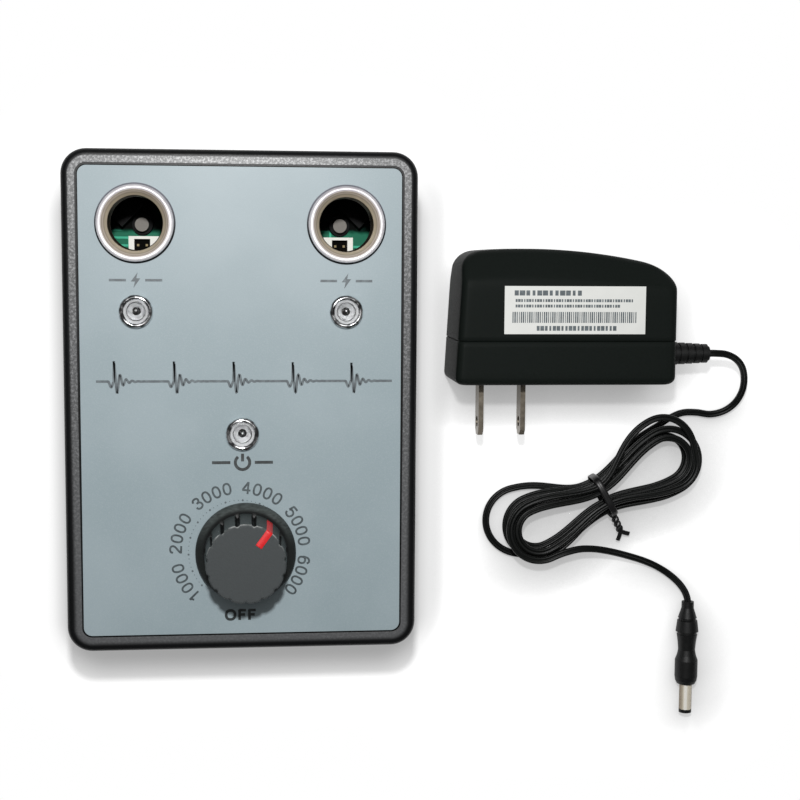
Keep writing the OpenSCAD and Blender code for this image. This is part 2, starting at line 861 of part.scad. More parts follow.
module pointer_shape(gap) {
  w = pointer_w + 2 * gap;
  out = knob_grip_r + pointer_out;
  translate([-w / 2, pointer_from - gap, knob_h - pointer_t - gap])
    cube([w, out - pointer_from + 2 * gap, pointer_t + 2 * gap]);
  translate([-w / 2, out - pointer_t - gap, knob_skirt_h - gap])
    cube([w, pointer_t + 2 * gap, knob_h - knob_skirt_h + 2 * gap]);
}

module knob() {
  color([0.24, 0.25, 0.26]) at_knob() difference() {
    knob_blank();
    translate([0, 0, knob_hollow_h - 1]) linear_extrude(knob_h - knob_cap_t - knob_hollow_h + 1)
      shaft_section(shaft_r + fit_gap);
    for (i = [1:flute_count - 1]) rotate([0, 0, i * 360 / flute_count])
      translate([0, knob_grip_r + flute_out, knob_skirt_h]) cylinder(r = flute_r, h = knob_h, $fn = 32);
    pointer_shape(fit_gap);
  }
}

module knob_pointer() {
  color([0.85, 0.2, 0.2]) at_knob() pointer_shape(0);
}

module control_shaft() {
  color([0.7, 0.7, 0.7]) at_control() {
    rod(shaft_r, z_wiper, z_knob + knob_hollow_h - 1);
    translate([0, 0, z_wiper]) rotate([0, 0, -pointer_turn]) linear_extrude(z_shaft - z_wiper)
      shaft_section(shaft_r);
  }
}

module control_wiper() {
  color([0.4, 0.25, 0.15]) at_control() pipe(wiper_r, shaft_r, z_wiper, z_wiper + wiper_t);
}

module control_body() {
  color([0.72, 0.72, 0.70]) at_control() difference() {
    union() {
      rod(can_r, z_can, z_under);
      rod(bush_r, z_under - 1, z_bush);
    }
    rod(can_r - can_wall, z_can - 1, z_under - wafer_t);
    rod(shaft_r + slide_gap, z_can, z_bush + 1);
  }
}

module control_wafer() {
  color([0.45, 0.28, 0.16]) at_control() {
    rod(can_r, z_can - wafer_t, z_can);
    for (a = lug_turns) rotate([0, 0, a]) translate([-lug_w / 2, -can_r - lug_l, z_can - wafer_t])
      cube([lug_w, lug_l + 2, wafer_t / 2]);
  }
}

module control_switch() {
  color([0.68, 0.68, 0.66]) at_control() {
    rod(switch_r, z_switch, z_can - wafer_t);
    for (s = [-1, 1]) {
      translate([s * switch_lug_x - lug_w / 2, -switch_lug_t / 2, z_switch - switch_lug_h])
        cube([lug_w, switch_lug_t, switch_lug_h + 1]);
    }
  }
}

module control_nut() {
  color([0.75, 0.75, 0.72]) at_control() difference() {
    hex(nut_af, z_nut, z_nut + nut_h);
    rod(bush_r + fit_gap, z_nut - 1, z_nut + nut_h + 1);
  }
}

module control_washer() {
  color([0.75, 0.75, 0.72]) at_control() pipe(washer_r, bush_r + fit_gap, z_panel, z_nut);
}

module control_wires() {
  color([0.6, 0.15, 0.12]) at_control() {
    for (a = lug_turns) rotate([0, 0, a]) {
      translate([0, lug_wire_inset - can_r - lug_l, 0]) rod(wire_r, z_board, z_can - wafer_t);
    }
    for (s = [-1, 1]) translate([s * switch_lug_x, 0, 0]) rod(wire_r, z_board, z_switch - switch_lug_h);
  }
}

module main_board() {
  color([0.1, 0.42, 0.3]) difference() {
    translate([0, 0, z_board - board_t]) linear_extrude(board_t) square([board_w, board_l], center = true);
    at_corners(screw_x, screw_y) rod(boss_r + board_gap, z_floor, z_split);
    at_sockets() rod(post_r + hole_gap, z_floor, z_split);
    at_pillars() rod(board_screw_r + hole_gap, z_floor, z_split);
  }
}

module board_screws() {
  color([0.7, 0.7, 0.7]) at_pillars() difference() {
    union() {
      rod(board_screw_r, z_board - board_t - board_screw_l + 1, z_board + 1);
      rod(board_screw_head_r, z_board, z_board + board_screw_head_h);
    }
    cross_recess(board_screw_cross, z_board + board_screw_head_h - board_screw_cross[2]);
  }
}

module lead_header(s) {
  color([0.92, 0.92, 0.88]) translate([s * socket_x, socket_y, z_board]) difference() {
    translate([-s * header_in - header_w / 2, -header_near - header_l, 0])
      cube([header_w, header_l, header_h]);
    header_hole(s);
  }
}

module header_hole(s) {
  x = -s * header_hole_in - header_hole_w / 2;
  y = -header_near - header_wall - header_hole_l;
  translate([x, y, header_floor]) cube([header_hole_w, header_hole_l, header_h]);
}

module lead_header_left() {
  lead_header(-1);
}

module lead_header_right() {
  lead_header(1);
}

module header_pins() {
  color([0.8, 0.75, 0.55]) for (s = [-1, 1], i = [-1, 1]) {
    x = s * (socket_x - header_hole_in) + i * header_pin_gap / 2;
    y = socket_y - header_near - header_wall - header_hole_l / 2;
    translate([x - header_pin / 2, y - header_pin / 2, z_board + header_floor])
      cube([header_pin, header_pin, header_h - header_floor - header_pin_drop]);
  }
}

module spark_coil(s) {
  color([0.1, 0.1, 0.11]) translate([s * coil_x, coil_y, z_board]) {
    linear_extrude(coil_h) round_rect(coil_w, coil_l, coil_r);
  }
}

module spark_coil_left() {
  spark_coil(-1);
}

module spark_coil_right() {
  spark_coil(1);
}

module storage_capacitors() {
  color([0.12, 0.14, 0.3]) for (p = capacitors) translate([p[0], p[1], z_board]) difference() {
    cylinder(r = can_cap_r, h = can_cap_h, $fn = 64);
    pipe(can_cap_r + 1, can_cap_r - can_groove[2], can_groove[0], can_groove[0] + can_groove[1]);
  }
}

module driver_packages() {
  color([0.09, 0.09, 0.1]) for (s = [-1, 1]) {
    translate([s * (socket_x + driver_off), socket_y + driver_off, z_board]) rotate([0, 0, 45])
      translate([-driver_s / 2, -driver_s / 2, 0]) cube([driver_s, driver_s, driver_h]);
  }
}

module timer_chip() {
  color([0.1, 0.1, 0.1]) translate([0, chip_y, z_board]) {
    translate([-chip_l / 2, -chip_w / 2, chip_lift]) cube([chip_l, chip_w, chip_h]);
    for (i = [-1.5:1.5], s = [-1, 1]) {
      translate([i * chip_pitch - chip_leg[0] / 2, s * (chip_w / 2 + chip_leg_out) - chip_leg[1] / 2, 0])
        cube(chip_leg);
    }
  }
}

module power_jack() {
  color([0.11, 0.11, 0.12]) difference() {
    union() {
      translate([-jack_w / 2, board_l / 2 - jack_l, z_board]) cube([jack_w, jack_l, jack_h]);
      translate([0, board_l / 2 - 1, z_jack]) rotate([-90, 0, 0])
        cylinder(r = jack_nose_r, h = board_margin_y + 1 - jack_inset, $fn = 64);
    }
    translate([0, case_l / 2 - jack_inset - jack_bore_l, z_jack]) rotate([-90, 0, 0])
      cylinder(d = jack_bore_d, h = jack_bore_l + 1, $fn = 64);
  }
}

module power_jack_pin() {
  color([0.8, 0.75, 0.5]) translate([0, case_l / 2 - jack_inset - jack_bore_l, z_jack]) rotate([-90, 0, 0])
    cylinder(r = jack_pin_r, h = jack_pin_l, $fn = 32);
}

module at_adapter() {
  translate([adapter_x, adapter_y, 0]) children();
}

module adapter_slab(inset, low, back) {
  translate([0, 0, low]) linear_extrude(adapter_t - 2 * low) intersection() {
    offset(delta = -inset) polygon(adapter_outline);
    square([adapter_w, back]);
  }
}

// Adapter body set in by a wall: thick at the label, thinner towards the back
module adapter_body(inset) {
  hull() {
    adapter_slab(inset, inset + adapter_edge, slope_v);
    adapter_slab(inset + adapter_edge, inset, slope_v);
    adapter_slab(inset, inset + slope_d, adapter_l);
  }
}

module adapter_shell() {
  difference() {
    adapter_body(0);
    adapter_body(adapter_wall);
  }
}

module adapter_back_shell() {
  color([0.12, 0.13, 0.12]) at_adapter() {
    difference() {
      adapter_shell();
      translate([-1, -1, -1]) cube([adapter_w + 2, face_shell_l + 1, adapter_t + 2]);
    }
    for (u = board_ribs_u) translate([u, face_shell_l + board_rib_in, adapter_wall / 2])
      cube([board_rib_w, board_rib_l, inner_board_z - adapter_wall / 2]);
  }
}

module adapter_face_shell() {
  color([0.13, 0.14, 0.13]) at_adapter() difference() {
    adapter_shell();
    translate([-1, face_shell_l, -1]) cube([adapter_w + 2, adapter_l, adapter_t + 2]);
    for (i = [0, 1]) translate([blade_u + i * blade_pitch, adapter_wall / 2, adapter_t / 2])
      cube([blade_t + 2 * fit_gap, adapter_wall + 2, blade_w + 2 * fit_gap], center = true);
  }
}

module adapter_label() {
  color([0.82, 0.82, 0.8]) at_adapter() translate([label_u, label_v, adapter_t])
    cube([label_w, label_l, label_t]);
}

module blade_outline() {
  half = blade_w / 2;
  foot = half + blade_foot;
  inner = adapter_wall + blade_in;
  difference() {
    polygon([
      [-blade_l, blade_tip - half], [blade_tip - blade_l, -half], [adapter_wall, -half],
      [adapter_wall, -foot], [inner, -foot], [inner, foot], [adapter_wall, foot],
      [adapter_wall, half], [blade_tip - blade_l, half], [-blade_l, half - blade_tip]
    ]);
    translate([blade_hole_in - blade_l, 0]) circle(blade_hole_r, $fn = 32);
  }
}

module mains_blades() {
  color([0.75, 0.74, 0.7]) at_adapter() for (i = [0, 1]) {
    translate([blade_u + i * blade_pitch - blade_t / 2, 0, adapter_t / 2]) rotate([90, 0, 90])
      linear_extrude(blade_t) blade_outline();
  }
}

module adapter_board() {
  color([0.55, 0.42, 0.2]) at_adapter() translate([inner_board_u, face_shell_l, inner_board_z])
    cube(inner_board);
}

module adapter_transformer() {
  color([0.75, 0.65, 0.2]) at_adapter()
    translate([transformer_u, face_shell_l + transformer_in, z_inner_board]) cube(transformer);
}

module adapter_capacitor() {
  color([0.15, 0.15, 0.3]) at_adapter() translate([supply_can_u, face_shell_l + supply_can_in, z_inner_board])
    cylinder(r = supply_can_r, h = supply_can_h, $fn = 48);
}

// One rib of the strain relief and the groove after it
function boot_rib(i) = let (
  r = boot_base_r + (boot_tip_r - boot_base_r) * i / (boot_ribs - 1),
  low = i * boot_l / boot_ribs,
  mid = (i + boot_rib_share) * boot_l / boot_ribs,
  high = (i + 1) * boot_l / boot_ribs
) [[r, low], [r, mid], [r - boot_groove, mid], [r - boot_groove, high]];

module cord_strain_relief() {
  ribs = [for (i = [0:boot_ribs - 1]) each boot_rib(i)];
  color([0.1, 0.1, 0.1]) translate(boot_end - [boot_l, 0, 0]) rotate([0, 90, 0])
    rotate_extrude($fn = 48) polygon(concat([[0, 0]], ribs, [[0, boot_l]]));
}

module cord_lead() {
  end = [for (i = [2, 1, 0]) hank_start - i * cord_d * hank_in];
  color([0.1, 0.1, 0.1]) sweep(concat(lead_route, end), cord_d / 2, 8);
}

module cord_hank() {
  echo("least gap of the hank to itself", least_gap(hank_path(72), 18) - cord_d);
  color([0.1, 0.1, 0.1]) sweep(hank_route, cord_d / 2, 6);
}

module cord_tail() {
  start = [hank_end, hank_end + hank_out * cord_d];
  end = [[plug_x, plug_y + cord_d, grip_r], [plug_x, plug_y, grip_r]];
  color([0.1, 0.1, 0.1]) sweep(concat(start, tail_route, end), cord_d / 2, 8);
}

module cord_tie() {
  wide = tie_half + tie_t;
  tall = hank_height + 2 * tie_gap + 2 * tie_t;
  color([0.08, 0.08, 0.08]) translate([hank_x, hank_y, 0]) rotate([0, 0, hank_turn]) {
    translate([-tie_w / 2, 0, tall / 2]) rotate([90, 0, 90]) linear_extrude(tie_w) difference() {
      square([2 * wide, tall], center = true);
      square([2 * tie_half, tall - 2 * tie_t], center = true);
    }
    for (s = [-1, 1]) translate([s * tie_tail_r, tie_tail_in - wide, tie_tail_z])
      rotate([90, 0, s * tie_tail_turn]) cylinder(r = tie_tail_r, h = tie_tail_l, $fn = 24);
  }
}

module dc_plug_grip() {
  outline = [for (p = grip_profile) [p[0] * grip_r, p[1] * grip_l / grip_profile_l]];
  color([0.11, 0.11, 0.11]) translate([plug_x, plug_y, grip_r]) rotate([90, 0, 0])
    rotate_extrude($fn = 64) polygon(outline);
}

module at_barrel() {
  translate([plug_x, plug_y - grip_l, grip_r]) rotate([90, 0, 0]) children();
}

module dc_plug_barrel() {
  color([0.82, 0.78, 0.62]) at_barrel() pipe(barrel_d / 2, barrel_bore_r, 0, barrel_l - barrel_tip_l);
}

module dc_plug_insulator() {
  color([0.08, 0.08, 0.08]) at_barrel() pipe(barrel_d / 2, barrel_bore_r, barrel_l - barrel_tip_l, barrel_l);
}

front_case();
rear_case();
front_panel();
case_screws();
rubber_feet();
plug_socket_left();
plug_socket_right();
socket_nuts();
socket_earth_tags();
earth_wires();
contact_post_left();
contact_post_right();
contact_pin_left();
contact_pin_right();
contact_spring_left();
contact_spring_right();
signal_bezel_left();
signal_bezel_right();
power_bezel();
signal_lamp_left();
signal_lamp_right();
power_lamp();
lamp_leads();
knob();
knob_pointer();
control_shaft();
control_wiper();
control_body();
control_wafer();
control_switch();
control_nut();
control_washer();
control_wires();
main_board();
board_screws();
lead_header_left();
lead_header_right();
header_pins();
spark_coil_left();
spark_coil_right();
storage_capacitors();
driver_packages();
timer_chip();
power_jack();
power_jack_pin();
adapter_back_shell();
adapter_face_shell();
adapter_label();
mains_blades();
adapter_board();
adapter_transformer();
adapter_capacitor();
cord_strain_relief();
cord_lead();
cord_hank();
cord_tail();
cord_tie();
dc_plug_grip();
dc_plug_barrel();
dc_plug_insulator();
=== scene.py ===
import json
import math

import bmesh
import bpy
import numpy as np
from mathutils import Matrix, Vector


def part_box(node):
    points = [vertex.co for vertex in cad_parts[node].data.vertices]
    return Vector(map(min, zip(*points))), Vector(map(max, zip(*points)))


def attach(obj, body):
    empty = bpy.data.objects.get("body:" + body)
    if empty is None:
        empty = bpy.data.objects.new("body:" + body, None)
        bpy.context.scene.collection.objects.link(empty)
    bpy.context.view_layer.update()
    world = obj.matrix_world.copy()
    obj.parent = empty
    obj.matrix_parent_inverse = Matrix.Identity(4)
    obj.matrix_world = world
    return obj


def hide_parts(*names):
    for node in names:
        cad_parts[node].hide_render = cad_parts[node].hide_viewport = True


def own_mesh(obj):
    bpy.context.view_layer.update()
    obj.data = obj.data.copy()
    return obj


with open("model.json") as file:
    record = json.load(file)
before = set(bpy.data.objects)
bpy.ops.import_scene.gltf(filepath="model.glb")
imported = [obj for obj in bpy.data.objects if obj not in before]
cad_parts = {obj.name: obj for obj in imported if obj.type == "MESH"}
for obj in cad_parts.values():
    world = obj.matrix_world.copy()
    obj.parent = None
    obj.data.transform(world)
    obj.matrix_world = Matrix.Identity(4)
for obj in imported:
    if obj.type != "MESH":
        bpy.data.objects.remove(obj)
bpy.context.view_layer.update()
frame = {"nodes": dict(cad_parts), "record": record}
nodes = frame["nodes"]
mm = 0.001
weld = 1e-7                             # m, points closer than this are one
print("frame loaded:", len(nodes), "nodes")

scene = bpy.context.scene
scene.view_settings.view_transform = "Standard"

# camera: almost straight above the panel, leaning towards the sockets, no lens shift
cameraSettings = {
    "place": (0.0, 43.5, 457.1),        # mm
    "aim": (44.2, 0.85, 42.0),          # mm, the point in the middle of the picture
    "roll": -0.38,                      # degrees
    "lens": 67.0,
    "clipStart": 10.0,
}


def makeCamera(settings):
    data = bpy.data.cameras.new("camera")
    data.lens = settings["lens"]
    data.clip_start = settings["clipStart"] * mm
    camera = bpy.data.objects.new("camera", data)
    scene.collection.objects.link(camera)
    place = Vector(settings["place"]) * mm
    forward = (Vector(settings["aim"]) * mm - place).normalized()
    roll = math.radians(settings["roll"])
    right = forward.cross(Vector((math.sin(roll), math.cos(roll), 0))).normalized()
    up = right.cross(forward)
    turn = Matrix((right, up, -forward)).transposed()
    camera.matrix_world = Matrix.Translation(place) @ turn.to_4x4()
    scene.camera = camera


makeCamera(cameraSettings)
print("camera placed")


# shader maths: a wire wraps a socket, and an operator on it adds a Math node
class Wire:
    def __init__(self, finish, socket):
        self.finish = finish
        self.socket = socket

    def calc(self, operation, first, second=0.0):
        return self.finish.node("ShaderNodeMath", {"operation": operation}, {0: first, 1: second})

    def __add__(self, other):
        return self.calc("ADD", self, other)

    def __sub__(self, other):
        return self.calc("SUBTRACT", self, other)

    def __rsub__(self, other):
        return self.calc("SUBTRACT", other, self)

    def __mul__(self, other):
        return self.calc("MULTIPLY", self, other)

    def __rtruediv__(self, other):
        return self.calc("DIVIDE", other, self)

    def __pow__(self, other):
        return self.calc("POWER", self, other)

    __radd__ = __add__
    __rmul__ = __mul__

    def size(self):
        return self.calc("ABSOLUTE", self)

    def reach(self, other):             # length of the slant over two sides at right angles
        return (self * self + other * other) ** 0.5

    def between(self, low, high):       # 0 below low, 1 above high, eased
        sockets = {"Value": self, "From Min": low, "From Max": high}
        return self.finish.node("ShaderNodeMapRange", {"interpolation_type": "SMOOTHSTEP"}, sockets)

    def within(self, low, high, end, far):    # 0 to 1 from low to high, and back to 0 from end to far
        return self.between(low, high) * (1 - self.between(end, far))


def tint(red, green, blue):             # screen colour 0-255 to linear
    screen = np.array([red, green, blue]) / 255
    linear = np.where(screen < 0.04045, screen / 12.92, ((screen + 0.055) / 1.055) ** 2.4)
    return (*linear.tolist(), 1.0)


# a finish is one material: a Principled shader and the nodes that feed it, with sizes in mm
class Finish:
    def __init__(self, name, **sockets):
        self.material = bpy.data.materials.new(name)
        self.material.use_nodes = True
        self.tree = self.material.node_tree
        self.tree.nodes.clear()
        self.shader = self.tree.nodes.new("ShaderNodeBsdfPrincipled")
        output = self.tree.nodes.new("ShaderNodeOutputMaterial")
        self.tree.links.new(self.shader.outputs[0], output.inputs["Surface"])
        for socket, value in sockets.items():
            self.put(socket.replace("_", " "), value)

    def plug(self, socket, value):
        if isinstance(value, Wire):
            self.tree.links.new(value.socket, socket)
        else:
            socket.default_value = value

    def put(self, socket, value):
        self.plug(self.shader.inputs[socket], value)

    def node(self, kind, settings=None, sockets=None, out=0):
        made = self.tree.nodes.new(kind)
        for key, value in (settings or {}).items():
            setattr(made, key, value)
        for key, value in (sockets or {}).items():
            found = [s for s in made.inputs if s.identifier == key] or [made.inputs[key]]
            self.plug(found[0], value)
        return Wire(self, made.outputs[out])

    def spot(self):                     # place on the piece
        return self.node("ShaderNodeTexCoord", out="Object")

    def axes(self, centre=(0, 0, 0)):   # x, y and z of that place in mm from a centre
        sockets = {"Vector": self.spot(), "Location": Vector(centre) * mm, "Scale": (mm, mm, mm)}
        place = self.node("ShaderNodeMapping", {"vector_type": "TEXTURE"}, sockets)
        split = self.node("ShaderNodeSeparateXYZ", None, {0: place}).socket.node
        return [Wire(self, axis) for axis in split.outputs]

    def grain(self, size, detail=2.0, place=None, roughness=0.5):
        place = place or self.spot()
        sockets = {"Vector": place, "Scale": 1 / (size * mm), "Detail": detail, "Roughness": roughness}
        return self.node("ShaderNodeTexNoise", None, sockets)

    def cells(self, size):
        return self.node("ShaderNodeTexVoronoi", None, {"Vector": self.spot(), "Scale": 1 / (size * mm)})

    def mix(self, mask, first, second):    # colours; the node's third output is its colour
        sockets = {"Factor_Float": mask, "A_Color": first, "B_Color": second}
        return self.node("ShaderNodeMix", {"data_type": "RGBA"}, sockets, 2)

    def bump(self, height, depth):
        sockets = {"Height": height, "Distance": depth * mm, "Strength": 1.0}
        self.put("Normal", self.node("ShaderNodeBump", None, sockets))


# mottled finish: a noise mixes two tones and dulls the lighter one; depth adds a finer grain in relief
def mottledFinish(name, light, dark, roughness, size, spread=0.2, depth=0.0, fine=None, detail=4, **sockets):
    finish = Finish(name, **sockets)
    mottle = finish.grain(size, detail)
    finish.put("Base Color", finish.mix(mottle, tint(*dark), tint(*light)))
    finish.put("Roughness", mottle * spread + roughness)
    if depth:
        finish.bump(finish.grain(fine or size / 4, 3), depth)
    return finish.material


def plainFinish(name, light, dark, roughness, size, depth=0.0, gloss=0.5):    # moulded plastic, rubber, resin
    return mottledFinish(name, light, dark, roughness, size, depth=depth, Specular_IOR_Level=gloss)


def metalFinish(name, light, dark, roughness, size=1.5, metallic=1.0):
    return mottledFinish(name, light, dark, roughness, size, spread=0.14, Metallic=metallic)


# mesh helpers: whole arrays in, one object out
def gridFaces(rings, sides):            # quads between neighbouring closed rings
    ring = np.arange(rings - 1)[:, None] * sides
    side = np.arange(sides)[None, :]
    after = (side + 1) % sides
    quads = np.stack([ring + side, ring + after, ring + sides + after, ring + sides + side], -1)
    return quads.reshape(-1, 4)


def capFaces(first, sides, middle):     # a fan from one ring to its middle point
    side = np.arange(sides)
    return np.stack([first + side, first + (side + 1) % sides, np.full(sides, middle)], -1)


def loft(rings, capped=True):           # a skin over closed rings, with a fan over each end
    count, sides = rings.shape[:2]
    points = rings.reshape(-1, 3)
    faces = [gridFaces(count, sides)]
    if capped:
        faces.append(capFaces(0, sides, len(points))[:, ::-1])
        faces.append(capFaces((count - 1) * sides, sides, len(points) + 1))
        points = np.vstack([points, rings[0].mean(0), rings[-1].mean(0)])
    return points, faces


def joined(parts):                      # several (points, faces) pairs as one
    points, faces, start = [], [], 0
    for partPoints, partFaces in parts:
        points.append(partPoints)
        faces += [group + start for group in partFaces]
        start += len(partPoints)
    return np.vstack(points), faces


# a mesh with merged points and outward faces, on its body, in its slot's finish unless another is given
def addPiece(name, shape, body, slot=None, finish=None, smooth=True):
    points, faces = shape
    mesh = bpy.data.meshes.new(name)
    mesh.from_pydata(points.tolist(), [], [face for group in faces for face in group.tolist()])
    work = bmesh.new()
    work.from_mesh(mesh)
    bmesh.ops.remove_doubles(work, verts=work.verts, dist=weld)
    bmesh.ops.recalc_face_normals(work, faces=work.faces)
    work.to_mesh(mesh)
    work.free()
    mesh.polygons.foreach_set("use_smooth", np.full(len(mesh.polygons), smooth))
    mesh.materials.append(finish or finishes[slot])
    mesh.update()
    piece = bpy.data.objects.new(name, mesh)
    scene.collection.objects.link(piece)
    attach(piece, body)
    return piece


def pick(settings, *names):             # several settings at once
    return [settings[name] for name in names]


def signedPower(values, power):         # sizes to a power, signs kept, as in a superellipse
    return np.sign(values) * np.abs(values) ** power


def unit(vectors):                      # vectors of length 1
    return vectors / np.linalg.norm(vectors, axis=-1, keepdims=True)


def smoothPath(points, perSpan):        # Catmull-Rom curve through the points
    p = np.vstack([2 * points[0] - points[1], points, 2 * points[-1] - points[-2]])
    t = np.arange(perSpan)[None, :, None] / perSpan
    a, b, c, d = (p[k:len(p) - 3 + k, None, :] for k in range(4))
    spans = 0.5 * (2 * b + (c - a) * t + (2 * a - 5 * b + 4 * c - d) * t**2 + (3 * b - a - 3 * c + d) * t**3)
    return np.vstack([spans.reshape(-1, 3), points[-1]])


def evenPath(points, spacing):          # the same path with points an even distance apart
    along = np.concatenate([[0], np.cumsum(np.linalg.norm(np.diff(points, axis=0), axis=1))])
    even = np.linspace(0, along[-1], max(2, int(round(along[-1] / spacing)) + 1))
    return np.stack([np.interp(even, along, points[:, k]) for k in range(3)], -1)


# a flat profile carried along a path, level with the floor but for its roll
def sweep(path, profile, roll=0.0):
    heading = unit(np.gradient(path, axis=0))
    side = unit(np.cross(heading, [0, 0, 1]))
    up = np.cross(side, heading)
    c, s = np.cos(roll), np.sin(roll)
    c, s = (np.broadcast_to(x, len(path))[:, None] for x in (c, s))
    side, up = side * c + up * s, up * c - side * s
    return path[:, None] + profile[None, :, :1] * side[:, None] + profile[None, :, 1:] * up[:, None]


def fullTurn(count):                    # angles evenly round a circle
    return np.linspace(0, 2 * np.pi, count, endpoint=False)


def circle(angle):                      # places on a circle of radius 1
    return np.stack([np.cos(angle), np.sin(angle)], -1)


def arcPoints(centre, radius, start, end, count):    # from start to end in degrees
    return np.array(centre) + radius * circle(np.radians(np.linspace(start, end, count)))


def turnFlat(x, y, angle):              # flat places turned about the origin
    c, s = np.cos(angle), np.sin(angle)
    return x * c - y * s, x * s + y * c


def turned(outline, centre, count=96):  # a (radius, height) outline in mm turned about an upright axis
    angle = fullTurn(count)
    radius, height = outline[:, :1], outline[:, 1:]
    rings = np.stack([radius * np.cos(angle), radius * np.sin(angle), height + 0 * angle], -1)
    return loft((rings + np.array(centre)) * mm, False)


# cord: a flat twin lead from the strain relief through the hank to the plug
cordSettings = {
    "width": 2.2,                       # mm across the two cores
    "thickness": 1.45,
    "oval": 1.06,                       # nearer to 1, the section is more drawn in between the cores
    "spacing": 0.8,
    "perSpan": 12,
    "sides": 20,
    "roll": 30.0,                       # degrees that the flat side leans to and fro
    "rollWaves": (23.0, 9.1, 0.6),      # mm to a radian, slow and quick, and the share of the quick one
    "rollEase": 25.0,
    "lead": [                           # from the strain relief to the hank
        (141, 12, 14.5), (142, 12, 14.5), (144.2, 12, 14.5), (148, 11.6, 13.8), (151.6, 10, 12.2),
        (154.4, 7.2, 10), (156, 3.4, 7.4), (156.2, -0.8, 5), (154.6, -4.6, 3.2), (151.4, -7.2, 2.1),
        (147.2, -8.2, 1.7), (142.6, -7.6, 1.7), (138.2, -7.7, 1.7), (134.2, -9.3, 1.7),
    ],
    "tail": [                           # from the hank to the plug
        (100.4, -50.1, 9.8), (104.4, -49.4, 9.3), (108.8, -49.6, 8.4), (113.2, -50.5, 7), (117.8, -51.8, 5.4),
        (122.4, -53.3, 4), (127, -55, 2.8), (131.2, -57, 1.9), (135, -59.4, 1.7), (138.1, -62.1, 2.2),
        (140, -64.7, 2.9), (140.85, -67, 3.4), (141, -68.5, 3.6), (141, -69.5, 3.6),
    ],
    "turns": 5.5,
    "hankPoints": 1400,
    "run": 46.0,                        # mm, straight length of a turn
    "foldRadius": 6.3,
    "waist": 1.5,
    "step": 2.7,                        # from one loop to the next outside it
    "layer": 2.72,
    "low": 1.7,
    "middle": (112.0, -33.0),
    "heading": 29.0,                    # degrees from +X
    "flips": (1.22, 2.72, 4.22),        # turns at which the winding starts the next layer
    "skew": (-5.0, 5.0, -3.0),          # degrees that each layer turns by
    "climbFrom": 0.19,                  # turns before a flip
    "climbFor": 0.25,
    "loose": ((0.30, 0.15, 8.0), (5.0, 0.14, 7.0)),    # turn, half length in turns, bulge in mm
}


# hank: straight runs drawn in at the waist and half-round folds, offset outwards by the loop's number;
# each flip climbs one layer and turns the loop a little
def hankPath(settings, t):
    run, fold, waist, flips = pick(settings, "run", "foldRadius", "waist", "flips")
    ease = [np.clip((t - flip + settings["climbFrom"]) / settings["climbFor"], 0, 1) for flip in flips]
    ease = [x * x * (3 - 2 * x) for x in ease]
    number = np.where(t < flips[1], np.abs(t - flips[0]), np.abs(t - flips[2]))
    out = settings["step"] * number
    for at, half, bulge in settings["loose"]:
        near = np.clip((t - at) / half, -1, 1)
        out = out + bulge * np.cos(np.pi / 2 * near) ** 2
    side = np.where(t % 1 < 0.5, 1.0, -1.0)
    share = (t % 0.5) * 2
    along = run * (0.5 - 2 * share)
    drawn = fold - (fold - waist) * (1 + np.cos(2 * np.pi * along / run)) / 2
    slope = (fold - waist) * np.pi / run * np.sin(2 * np.pi * along / run)
    turn = np.pi * (2 * share - 1)
    onRun = share < 0.5
    steep = np.hypot(slope, 1)
    x = np.where(onRun, along - out * slope / steep, -run / 2 - (fold + out) * np.sin(turn))
    y = np.where(onRun, drawn + out / steep, (fold + out) * np.cos(turn))
    skew = sum(s * e for s, e in zip(settings["skew"], ease))
    x, y = turnFlat(side * x, side * y, np.radians(settings["heading"] + skew))
    middle = settings["middle"]
    return np.stack([middle[0] + x, middle[1] + y, settings["low"] + settings["layer"] * sum(ease)], -1)


# twin profile: a Cassini oval, wide and drawn in at the middle, stretched to the cord's thickness
def twinProfile(settings):
    angle = fullTurn(settings["sides"])
    radius = np.sqrt(np.cos(2 * angle) + np.sqrt(settings["oval"] ** 4 - np.sin(2 * angle) ** 2))
    outline = radius[:, None] * circle(angle)
    size = np.array([settings["width"], settings["thickness"]])
    return outline / (outline.max(0) - outline.min(0)) * size


# the lead runs into the hank and the tail out of it, each with a short straight stub
def cordPath(settings):
    hank = hankPath(settings, np.linspace(0, settings["turns"], settings["hankPoints"]))
    stub, perSpan = settings["width"], settings["perSpan"]
    into = unit(hank[1] - hank[0])
    out = unit(hank[-1] - hank[-2])
    lead = np.vstack([settings["lead"], hank[0] - 2 * stub * into, hank[0] - stub * into, hank[0]])
    tail = np.vstack([hank[-1], hank[-1] + stub * out, settings["tail"]])
    path = np.vstack([smoothPath(lead, perSpan)[:-1], hank[:-1], smoothPath(tail, perSpan)])
    return evenPath(path, settings["spacing"])


# the flat side leans in two waves, and lies level where the cord meets boot and plug
def cordLean(settings, count):
    along = np.arange(count) * settings["spacing"]
    slow, quick, share = settings["rollWaves"]
    lean = np.radians(settings["roll"]) * (np.sin(along / slow) + share * np.sin(along / quick + 1))
    return lean * np.minimum(1, np.minimum(along, along[-1] - along) / settings["rollEase"])


path = cordPath(cordSettings)
rings = sweep(path, twinProfile(cordSettings), cordLean(cordSettings, len(path))) * mm
cordVinyl = mottledFinish("cordVinyl", (13, 15, 14), (8, 10, 9), 0.36, 6, spread=0.16, depth=0.03,
                          fine=0.5, detail=3, Specular_IOR_Level=0.2)
cordPiece = addPiece("cord", loft(rings), "power_lead", "cord_black", cordVinyl)
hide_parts("cord_lead", "cord_hank", "cord_tail")


